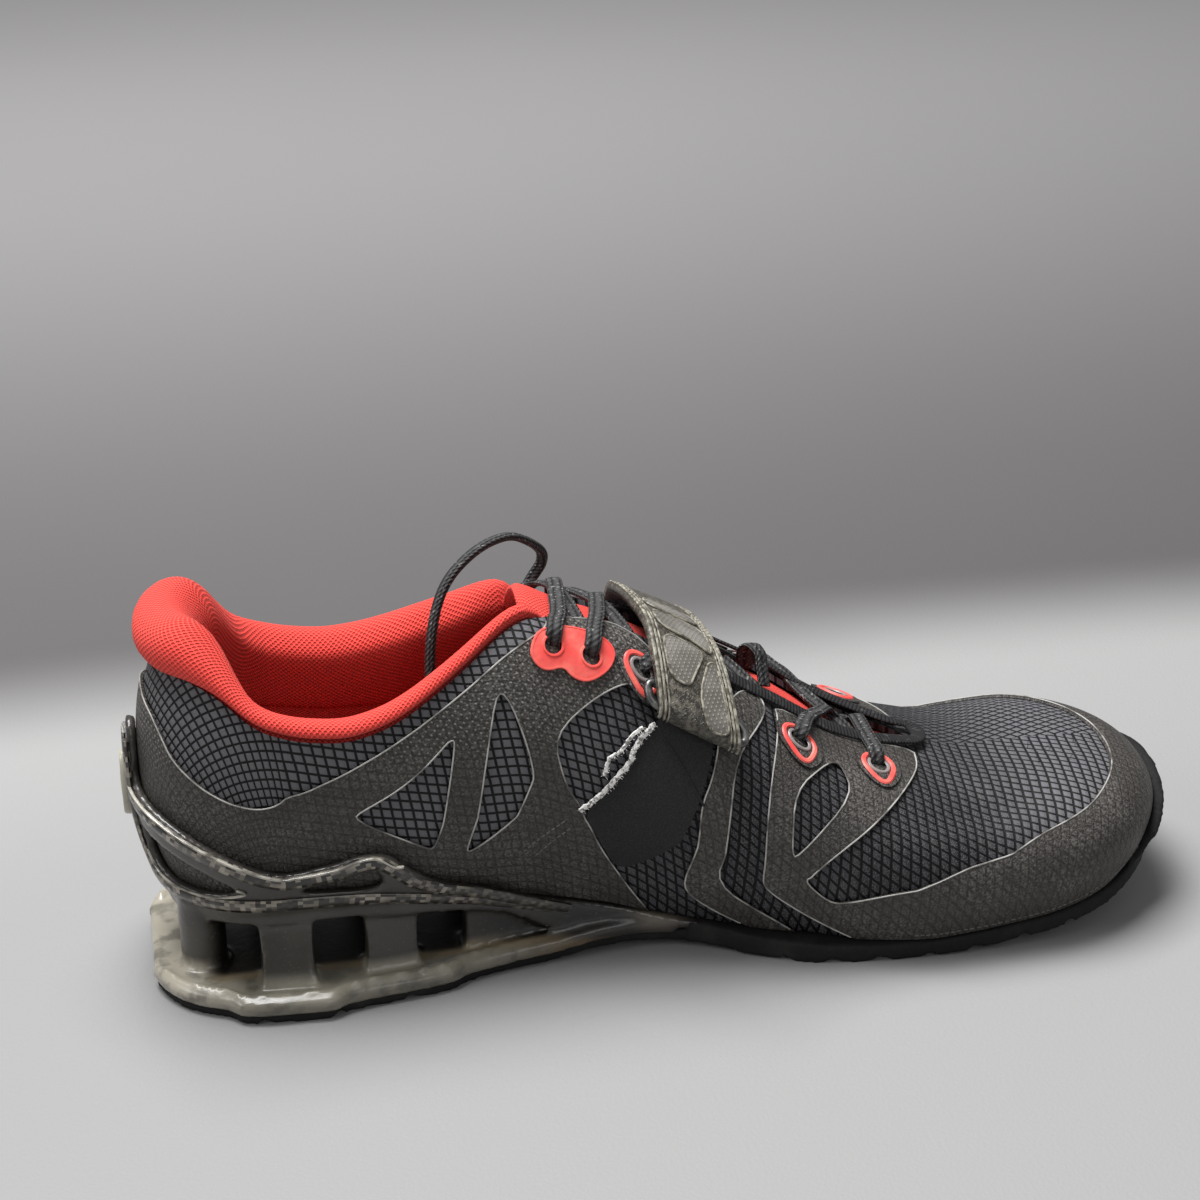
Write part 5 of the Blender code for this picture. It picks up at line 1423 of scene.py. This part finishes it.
# Inside the heel, between the columns, the plate is painted near black as painted shade under the
# shelf, with a painted amber glow along its edge.
between = moulding.step(ahead, -0.027, -0.019)
painted_shade_inside = moulding.step(aside.math("ABSOLUTE"), 0.0265, 0.0225) * between
fade = moulding.step(aside.math("ABSOLUTE"), 0.0300, 0.0265) * between
clear = moulding.mix(fade * 0.5, clear, (0.24, 0.165, 0.075))
clear = moulding.mix(painted_shade_inside, clear, (0.010, 0.008, 0.007))
green = moulding.mix(moulding.step(cloudy, 0.35, 0.7), (0.036, 0.032, 0.026), (0.058, 0.053, 0.043))
green = moulding.mix(moulding.step(ahead, 0.0, 0.05), green, (0.024, 0.021, 0.019))
dusky = moulding.mix(moulding.step(cloudy, 0.4, 0.7), (0.030, 0.0265, 0.0235),
                     (0.050, 0.045, 0.039))
tone = moulding.mix(moulding.step(level_of, 0.0080, 0.0115), clear, green)
tone = moulding.mix(moulding.step(level_of, 0.019, 0.026), tone, dusky)
# A lighter warm spot near the front of the moulding: painted light.
painted_light_spot = moulding.node("ShaderNodeVectorMath", {"operation": "DISTANCE"}, {
    0: moulding.place(), 1: (0.1030, -0.0240, 0.0150)}, "Value")
tone = moulding.mix(moulding.step(painted_light_spot, 0.012, 0.003) * 0.7, tone, (0.20, 0.17, 0.13))
# Below 30 mm the inside of the heel is painted near black as well: painted shade.
tone = moulding.mix(painted_shade_inside * moulding.step(height, 0.045, 0.030), tone, (0.008, 0.007, 0.006))
scuffs = moulding.patches(0.62, 0.8, 1300.0, 2.0)
moulding.paint(scuffs * 0.25, tone, (0.30, 0.29, 0.26))
moulding.put("Roughness", 0.30 + scuffs * 0.25 + moulding.step(cloudy, 0.4, 0.8) * 0.12)
moulding.emboss(moulding.noise(500.0), 0.00012)
set_piece(fused(truss, TRUSS_VOXEL, 4), "heel_moulding", moulding, ["heel_truss"],
          angle=60)


# Raised ribs run along the cage. The moulding is hollow behind them, so light breaks up in them, and
# this is painted on them as small square flecks; thin pale lines along their upper edges are painted
# highlights.
RIB_WIDTH = 0.0044
BACK_RIB_WIDTH = 0.0050
RIB_OUT = PATCH_SEAT + CAGE - 0.0003
UPPER_RIB = [(0.10, 0.79), (0.25, 0.745), (0.40, 0.695), (0.67, 0.535), (0.87, 0.385), (0.98, 0.345),
             (1.05, 0.44), (1.09, 0.585), (1.115, 0.605), (1.137, 0.485), (1.17, 0.25), (1.22, 0.09),
             (1.30, -0.02), (1.385, -0.10)]
LOWER_RIB = [(0.10, 0.05), (0.30, 0.03), (0.60, 0.02), (0.85, 0.03), (1.05, 0.03), (1.15, -0.01),
             (1.25, -0.09), (1.385, -0.17)]
BACK_RIB = [(0.06, 1.20), (0.085, 1.0), (0.085, 0.70), (0.075, 0.40), (0.085, 0.05)]
flecked = Finish("rib_flecks", (0.10, 0.095, 0.075), 0.3, Coat_Weight=0.4, Coat_Roughness=0.15)
run, turn, _ = flecked.parts(flecked.cloth())
cell = flecked.node("ShaderNodeCombineXYZ", {}, (
    (run / 0.0014).math("FLOOR"), (turn * 10.0).math("FLOOR"), 0.0))
chance = flecked.node("ShaderNodeTexWhiteNoise", {"noise_dimensions": "2D"}, (cell,))
drift = flecked.patches(0.38, 0.66, 130.0)
rear = flecked.parts(flecked.place())[0]
# Dark and pale square flecks: painted light, as it breaks up in the hollow ribs.
tone = flecked.mix(flecked.step(chance, 0.30, 0.95), (0.012, 0.011, 0.010), (0.34, 0.31, 0.255))
tone = flecked.mix(drift * 0.6, tone, (0.040, 0.036, 0.031))
flecked.paint(flecked.step(rear, 0.020, 0.085) * 0.8, tone, (0.032, 0.028, 0.025))
flecked.emboss(chance, 0.00015)
ribs_mesh = bmesh.new()
shine = bmesh.new()
for side in (-1, 1):
    for line, width in ((UPPER_RIB, RIB_WIDTH), (LOWER_RIB, RIB_WIDTH), (BACK_RIB, BACK_RIB_WIDTH)):
        join_to(ribs_mesh, bead(line, side, RIB_OUT, width, 0.0020))
    # Pale beads along the upper rib's top edge and the crescent window's lower edge are painted
    # highlights.
    top_edge = [(along, up + 0.065) for along, up in UPPER_RIB[:10]] + [(1.150, 0.54)]
    join_to(shine, bead(top_edge, side, RIB_OUT + 0.0005, 0.0009, 0.0009, 6))
    crescent_edge = [(0.13, 0.26), (0.20, 0.125), (0.38, 0.085), (0.60, 0.105), (0.76, 0.19),
                     (0.72, 0.24)]
    join_to(shine, bead(crescent_edge, side, RIB_OUT, 0.0006, 0.0007, 6))
set_piece(ribs_mesh, "cage_ribs", flecked, angle=60)
bright = Finish("cage_shine", (0.5, 0.48, 0.42), 0.25, Coat_Weight=0.5)
patchy = bright.patches(0.30, 0.62, 220.0)
bright.paint(patchy, (0.12, 0.11, 0.092), (0.50, 0.475, 0.41))
bright.put("Roughness", 0.25 + patchy * 0.2)
set_piece(shine, "cage_shine", bright, angle=60)


# The button on the back post is a plain moulded oval of pearly plastic, domed inside a thin rim and
# pressed on over the post.
BADGE_LENGTH = 0.0200
BADGE_WIDTH = 0.0095
BADGE_DEPTH = 0.0014
BADGE_ON_POST = (0.45, 0.75, 1.10)
badge = bmesh.new()
bmesh.ops.create_uvsphere(badge, u_segments=40, v_segments=20, radius=1.0)
bmesh.ops.bisect_plane(badge, geom=badge.verts[:] + badge.edges[:] + badge.faces[:], dist=0.00001,
                       plane_co=(0, 0, 0), plane_no=(1, 0, 0), clear_outer=True)
bmesh.ops.holes_fill(badge, edges=badge.edges, sides=0)
seats = [skin(0.0, up, PATCH_SEAT + CAGE) for up in BADGE_ON_POST]
badge_back = min(seat.x for seat in seats) - GAP
badge_middle = (seats[0].z + seats[-1].z) / 2
for vert in badge.verts:
    vert.co = (badge_back + vert.co.x * BADGE_DEPTH, vert.co.y * BADGE_WIDTH * 0.44,
               badge_middle + vert.co.z * BADGE_LENGTH * 0.44)
rim_points = [Vector((badge_back + 0.0005, math.cos(math.tau * i / 40) * (BADGE_WIDTH - 0.0011) / 2,
                      badge_middle + math.sin(math.tau * i / 40) * (BADGE_LENGTH - 0.0011) / 2))
              for i in range(41)]
rim_lifts = [Vector((-1, 0, 0))] * 41
join_to(badge, cord_body(rim_points, rim_lifts, 0.0011, 0.0032, 8, closed=True))
pearl = Finish("button_moulding", (0.40, 0.38, 0.29), 0.25, Coat_Weight=0.4)
haze = pearl.noise(200.0)
pearl.paint(haze, (0.30, 0.285, 0.215), (0.50, 0.48, 0.38))
pearl.put("Roughness", 0.2 + haze * 0.2)
set_piece(badge, "heel_button", pearl, ["heel_badge"])


# The instep strap is coated synthetic leather over webbing, folded round a wire loop on the medial
# side. Raised panels are pressed into its face, and both edges are piped and stitched.
FILM_SEAT = 0.0006
PANEL = 0.0010
STRAP_WIDTH = 0.0250
STRAP = 0.0020
RING_WIRE = 0.0025
STRAP_ALONG = 1.560
STRAP_BEND_UP = 1.555
STRAP_ARCH = ((60, 0.0080), (79, 0.0076), (100, 0.0062), (122, 0.0066), (140, 0.0080),
              (152, 0.0056), (164, 0.0037))
BEND_STEPS = 12
STRAP_STEPS = 60
strap_start = (STRAP_BEND_UP - 1) * section("open_medial", rib(STRAP_ALONG)[3])
ring_seat = FILM_SEAT + PANEL + 2 * GAP + STRAP + GAP + RING_WIRE / 2
bend = STRAP / 2 + GAP + RING_WIRE / 2


def strap_point(turn, out, forward=0.0):
    return instep(STRAP_ALONG + forward, turn, out)


def strap_across(turn):
    """Direction across the strap, along the foot."""
    reach = STRAP_WIDTH / 2 / (LENGTH * (TOE_PIVOT - HEEL_PIVOT))
    return (strap_point(turn, 0.0, reach) - strap_point(turn, 0.0, -reach)).normalized()


rise = (strap_point(strap_start + 1, 0.0) - strap_point(strap_start, 0.0)).normalized()
strap_path = []
for i in range(BEND_STEPS + 1):
    turn = math.pi * i / BEND_STEPS
    strap_path.append((strap_point(strap_start, ring_seat - bend * math.cos(turn))
                       - rise * bend * math.sin(turn), strap_across(strap_start)))
arch = ((strap_start, ring_seat + bend),) + STRAP_ARCH
for i in range(1, STRAP_STEPS + 1):
    turn = strap_start + (STRAP_ARCH[-1][0] - strap_start) * i / STRAP_STEPS
    strap_path.append((strap_point(turn, smooth(arch, turn)), strap_across(turn)))
for _ in range(6):
    strap_path = [strap_path[0]] + [
        ((before[0] + here[0] * 2 + after[0]) / 4, (before[1] + here[1] * 2 + after[1]).normalized())
        for before, here, after in zip(strap_path, strap_path[1:], strap_path[2:])] + [
        strap_path[-1]]
strap_run = lengths_of([centre for centre, across in strap_path])


def on_strap(run, across, out):
    """Point on the strap's middle sheet: a length from the inner end of its fold."""
    last = len(strap_run) - 1
    i = min(max(sum(1 for place in strap_run if place <= run) - 1, 0), last - 1)
    t = (run - strap_run[i]) / (strap_run[i + 1] - strap_run[i])
    centre = strap_path[i][0].lerp(strap_path[i + 1][0], t)
    side = strap_path[i][1].lerp(strap_path[i + 1][1], t).normalized()
    way = (strap_path[i + 1][0] - strap_path[i][0]).normalized()
    before = (strap_path[max(i - 1, 0)][0] - strap_path[i][0]).normalized() * -1 if i else way
    after = (strap_path[min(i + 2, last)][0] - strap_path[i + 1][0]).normalized() if (
        i + 2 <= last) else way
    tangent = (before * (1 - t) + way + after * t).normalized()
    lift = side.cross(tangent).normalized()
    droop = 0.0006 * (abs(across) / (STRAP_WIDTH / 2)) ** 4
    return centre + side * across + lift * (out - droop)


def strap_lift(run, across):
    """Direction away from the strap's face."""
    return (on_strap(run, across, 0.002) - on_strap(run, across, 0.0)).normalized()


strap_columns = evenly(0.0, strap_run[-1], 90)
strap_rows = [STRAP_WIDTH * share for share in (
    -0.5, -0.49, -0.46, -0.38, -0.25, -0.12, 0.0, 0.12, 0.25, 0.38, 0.46, 0.49, 0.5)]
strap = lay_out(strap_columns, strap_rows)
strap_top = doubled(strap)
for vert in strap.verts:
    run, across = vert.co.x, vert.co.y
    thin = 0.5 if abs(across) > STRAP_WIDTH * 0.495 else 0.92 if (
        abs(across) > STRAP_WIDTH * 0.485) else 1.0
    vert.co = on_strap(run, across, (STRAP / 2 if vert in strap_top else -STRAP / 2) * thin)
hide = Finish("strap_hide", (0.06, 0.058, 0.043), 0.45, Coat_Weight=0.1)
grain = hide.node("ShaderNodeTexVoronoi", {"feature": "DISTANCE_TO_EDGE"}, {
    "Vector": hide.place(), "Scale": 900.0})
mottle = hide.patches(0.35, 0.7, 90.0)
rubbed = hide.patches(0.6, 0.78, 1100.0, 2.0)
crazed = hide.patches(0.40, 0.62, 650.0, 3.0)
tone = hide.mix(mottle, (0.090, 0.081, 0.064), (0.145, 0.132, 0.105))
tone = hide.mix(crazed, (0.034, 0.030, 0.023), tone)
hide.paint(rubbed * 0.35, tone, (0.32, 0.30, 0.25))
hide.put("Roughness", 0.40 + mottle * 0.12)
hide.emboss(hide.step(grain, 0.0, 0.12), 0.00012)
set_piece(strap, "strap_hide", hide, ["instep_strap"], angle=50)

# Panels on the strap's face as (length from the fold's lower end, place across), in millimetres.
FACE_PANELS = (
    ((2.5, 2.0), (11.0, 0.6), (23.0, 5.6), (24.5, 8.6), (9.0, 8.9), (3.0, 8.7)),
    ((12.5, -8.7), (11.8, -2.6), (15.5, -0.6), (24.8, 4.6), (27.0, 3.4), (27.0, -8.7)),
    ((29.5, -8.7), (29.5, 3.0), (26.8, 8.7), (42.0, 8.7), (42.0, -8.7)),
    ((45.0, -8.7), (45.0, 8.7), (54.0, 8.7), (54.0, -8.7)),
)
fold_foot = math.pi * bend / 2
panels = bmesh.new()
piping = bmesh.new()
holes_mesh = bmesh.new()
for corners in FACE_PANELS:
    loop = softened([(fold_foot + x / 1000, y / 1000) for x, y in corners], 3, 0.2)
    places, across = [x for x, y in loop], [y for x, y in loop]
    plate = cut_chart(loop, [], [x for x in evenly(0.0, 0.06, 60) if min(places) < x < max(places)],
                      [y for y in evenly(-0.012, 0.012, 16) if min(across) < y < max(across)])
    raise_chart(plate, STRAP / 2 - 0.0001, STRAP / 2 + 0.00045, on_strap)
    join_to(panels, plate)
    ring = loop + loop[:1]
    join_to(piping, cord_body([on_strap(x, y, STRAP / 2 + 0.0003) for x, y in ring],
                              [strap_lift(x, y) for x, y in ring], 0.0007, 0.0007, 6, closed=True))
texture = Finish("strap_panels", (0.05, 0.048, 0.037), 0.5)
u, v, _ = texture.parts(texture.cloth())
dot = texture.line(u + v * 0.6, 0.0019, 0.0007) * texture.line(v - u * 0.5, 0.0013, 0.0005)
mottle = texture.patches(0.35, 0.7, 120.0)
tone = texture.mix(mottle, (0.115, 0.106, 0.092), (0.21, 0.198, 0.178))
texture.paint(dot * 0.6, tone, (0.34, 0.32, 0.29))
texture.emboss(dot, 0.0002)
set_piece(panels, "strap_panels", texture, angle=50)
rail_run = evenly(fold_foot * 0.8, strap_run[-1] - 0.001, 110)
for share, width, high in ((0.485, 0.0010, 0.0009), (0.43, 0.0007, 0.0007), (0.385, 0.0005, 0.0005)):
    for across in (-share * STRAP_WIDTH, share * STRAP_WIDTH):
        rail = [on_strap(run, across, STRAP / 2 + high * 0.2) for run in rail_run]
        lifts = [strap_lift(run, across) for run in rail_run]
        join_to(piping, cord_body(rail, lifts, width, high, 6))
pipe = Finish("strap_piping", (0.12, 0.115, 0.09), 0.4)
patchy = pipe.patches(0.35, 0.65, 500.0)
pipe.paint(patchy, (0.085, 0.077, 0.058), (0.34, 0.32, 0.26))
pipe.put("Roughness", 0.35 + patchy * 0.2)
set_piece(piping, "strap_piping", pipe, angle=50)
# Small dark marks along both edges stand for the stitch holes, and their darkness is painted shade.
for side in (-1, 1):
    for run in evenly(fold_foot + 0.001, strap_run[-1] - 0.002, 26):
        across = side * 0.407 * STRAP_WIDTH
        near, far = (on_strap(run + on, across, STRAP / 2 + 0.0001) for on in (0.0, 0.0007))
        join_to(holes_mesh, cord_body([near, near.lerp(far, 0.5), far],
                                      [strap_lift(run, across)] * 3, 0.0006, 0.0003, 6))
set_piece(holes_mesh, "strap_holes", hole_shade, angle=50)
hooks = Finish("strap_hooks", (0.006, 0.006, 0.006), 0.95, Sheen_Weight=0.3)
fuzz = hooks.noise(1800.0, 3.0)
hooks.paint(hooks.step(fuzz, 0.5, 0.75), (0.004, 0.004, 0.004), (0.05, 0.05, 0.05))
hooks.emboss(fuzz, 0.0008)
pad = lay_out(evenly(strap_run[-1] * 0.22, strap_run[-1] - 0.002, 40),
              [STRAP_WIDTH * share for share in (-0.45, -0.44, -0.3, 0.0, 0.3, 0.44, 0.45)])
raise_chart(pad, -STRAP / 2 - 0.0009, -STRAP / 2 + 0.0001, on_strap)
set_piece(pad, "strap_hooks", hooks, angle=50)


# The loop is dull grey wire, bent round a form and closed. Its rear bar lies in the strap's fold,
# and the rest leans on the anchor.
RING_TURN = 8
lean = strap_across(strap_start)
bar = strap_point(strap_start, ring_seat)
away = strap_point(strap_start + RING_TURN, PATCH_SEAT + 0.0012 + 3 * GAP + RING_WIRE / 2) - bar
half, reach, corner = STRAP_WIDTH / 2 + RING_WIRE, away.length, RING_WIRE
away.normalize()
ring_points = []
for x_side, far, first in ((1, 0, -90), (1, 1, 0), (-1, 1, 90), (-1, 0, 180)):
    for i in range(9):
        turn = math.radians(first + 11.25 * i)
        across = x_side * (half - corner) + corner * math.cos(turn)
        depth = (reach - corner if far else corner) + corner * math.sin(turn)
        ring_points.append(bar + lean * across + away * depth)
ring_points.append(ring_points[0])
wire = Finish("loop_wire", (0.20, 0.20, 0.20), 0.38, Metallic=0.9)
tarnish = wire.patches(0.35, 0.7, 260.0)
wire.paint(tarnish, (0.10, 0.10, 0.10), (0.26, 0.26, 0.255))
wire.put("Roughness", 0.30 + tarnish * 0.2)
ring_lift = lean.cross(away).normalized()
set_piece(cord_body(ring_points, [ring_lift] * len(ring_points), RING_WIRE, RING_WIRE, 14,
                    closed=True), "strap_loop", wire, ["strap_ring"])


# A tape binds the throat's edges and goes round its end. The lace is a flat black braid: from each
# eyelet it runs over the throat's edge, crosses the tongue and goes under the opposite edge.
TAPE_WIDTH = 0.0044
TAPE_THICK = 0.0012
LACE_WIDTH = 0.0046
LACE_THICK = 0.0017
LACE_SQUEEZED = 0.0036
LACE_ON = 0.00340


def turn_of(side, along, up):
    opening = by_side("open", side * along, rib(along)[3])
    angle = (up - 1) * opening
    return angle if side < 0 else 180 - angle


def lift_of(along, turn, out):
    return (instep(along, turn, out + 0.001) - instep(along, turn, out)).normalized()


def laid(stops, width, thick, squeezed=False):
    """Flat cord through stops of (along, turn, out), narrower where it leaves an eyelet."""
    path = through(stops, 7)
    points = [instep(stop.x, stop.y, stop.z) for stop in path]
    lifts = [lift_of(stop.x, stop.y, stop.z) for stop in path]
    widths = [width] * len(points)
    if squeezed:
        widths[:12] = evenly(LACE_SQUEEZED, width, 11)
    return cord_body(points, lifts, widths, thick, square=0.75)


tape_places = (1.60, 1.66, 1.72, 1.78, 1.84, 1.885)
tape_stops = [(along, turn_of(-1, along, 2.0) - 1.5, 0.0021) for along in tape_places]
tape_stops += [(1.915, 87.0, 0.0022), (1.925, 91.0, 0.0022), (1.915, 96.0, 0.0022)]
tape_stops += [(along, turn_of(1, along, 2.0) + 1.5, 0.0021) for along in reversed(tape_places)]
tape = Finish("throat_tape", (0.016, 0.016, 0.017), 0.75, Specular_IOR_Level=0.2)
u, v, _ = tape.parts(tape.cloth())
twill = tape.line(u, 0.0011, 0.0005)
lint = tape.patches(0.55, 0.75, 500.0)
tone = tape.mix(twill * 0.6, (0.022, 0.022, 0.024), (0.006, 0.006, 0.006))
tape.paint(lint * 0.5, tone, (0.11, 0.11, 0.108))
tape.emboss(twill, 0.0003)
set_piece(laid(tape_stops, TAPE_WIDTH, TAPE_THICK), "throat_tape", tape)

strands = bmesh.new()
for i, (name, along, up) in enumerate(EYELET_ROWS):
    for side in (-1, 1):
        if i == len(EYELET_ROWS) - 1 and side > 0:
            continue
        ahead = EYELET_ROWS[min(i + 1, len(EYELET_ROWS) - 1)][1]
        start = turn_of(side, along, up)
        own_edge = turn_of(side, along, 2.0)
        other_edge = turn_of(-side, ahead, 2.0)
        reach = 1 if side < 0 else -1
        cross = LACE_THICK if side < 0 else 0.0
        step = ahead - along
        stops = [(along, start + reach * 1.0, -0.0030), (along, start + reach * 1.6, 0.0008),
                 (along + step * 0.06, start + reach * 5.0, LACE_ON + 0.0004),
                 (along + step * 0.16, (start + own_edge) / 2 + reach * 3.0, LACE_ON - 0.0002),
                 (along + step * 0.28, own_edge, 0.0026),
                 (along + step * 0.45, own_edge + (other_edge - own_edge) * 0.3, 0.0004 + cross),
                 (along + step * 0.62, own_edge + (other_edge - own_edge) * 0.6, -0.0002 + cross),
                 (along + step * 0.82, other_edge - reach * 5.0, -0.0012),
                 (along + step * 0.90, other_edge + reach * 2.0, -0.0022)]
        join_to(strands, laid(stops, LACE_WIDTH, LACE_THICK, squeezed=True))
tab = [instep(along, turn, out) for along, turn, out in (
    (1.690, 86, 0.0008), (1.690, 90, 0.0050), (1.690, 92, 0.0080), (1.682, 94, 0.0090),
    (1.676, 96, 0.0070), (1.676, 98, 0.0036), (1.680, 100, 0.0004))]
tab = through(tab, 6)
join_to(strands, cord_body(tab, steady_lifts(tab, (0.7, -0.7, 0.2)), 0.0058, 0.0015, 12,
                           square=0.75))
set_piece(strands, "lace_strands", braid, ["lace_crossings"], angle=60)


# Polyester stitches hold the films by the sole: one row follows the toe cap's lower edge, and two
# short rows cross where the counter meets the arch. A few threads have worked loose on the toe.
STITCH = 0.0016
STITCH_WIDTH = 0.0005
TOE_ROW = [(1.86, 0.10), (2.04, 0.12), (2.31, 0.18), (2.60, 0.50)]
ARCH_ROWS = ([(1.318, 0.60), (1.345, 0.80), (1.38, 1.00)], [(1.335, 0.56), (1.36, 0.76), (1.39, 0.94)])
yarn = Finish("stitch_yarn", (0.30, 0.29, 0.27), 0.7)
yarn.paint(yarn.noise(900.0), (0.03, 0.028, 0.026), (0.24, 0.23, 0.21))
stitches = bmesh.new()
for side in (-1, 1):
    for row in (TOE_ROW, *ARCH_ROWS):
        path = chart_path(row, 60, side)
        points = [surface(point.x, point.y, FILM_TOP) for point in path]
        run = lengths_of(points)
        start = 0
        for i, distance in enumerate(run):
            if distance - run[start] >= STITCH:
                middle = (start + i) // 2
                join_to(stitches, cord_body(
                    [points[start].lerp(points[i], 0.05), points[middle], points[start].lerp(
                        points[i], 0.68)], [normal_at(path[middle].x, path[middle].y)] * 3,
                    STITCH_WIDTH, 0.0004, 5))
                start = i
set_piece(stitches, "film_stitches", yarn)
stray = random.Random(11)
threads = bmesh.new()
for _ in range(9):
    along, up = -stray.uniform(2.55, 2.95), stray.uniform(1.82, 1.98)
    root = surface(along, up, -0.0003)
    lift = normal_at(along, up)
    way = (lift + Vector((stray.uniform(-0.5, 0.8), stray.uniform(-0.6, 0.6), 0.3))).normalized()
    bend_way = Vector((stray.uniform(-1, 1), stray.uniform(-1, 1), 0.0)) * 0.0012
    reach = stray.uniform(0.0018, 0.0034)
    strand = [root, root + way * reach * 0.5, root + way * reach + bend_way]
    join_to(threads, cord_body(strand, steady_lifts(strand, (0.3, 0.9, 0.1)), 0.00018, 0.00018, 4))
fibre = Finish("loose_threads", (0.02, 0.02, 0.02), 0.6)
fibre.paint(fibre.noise(600.0), (0.008, 0.008, 0.008), (0.05, 0.05, 0.05))
set_piece(threads, "loose_threads", fibre)
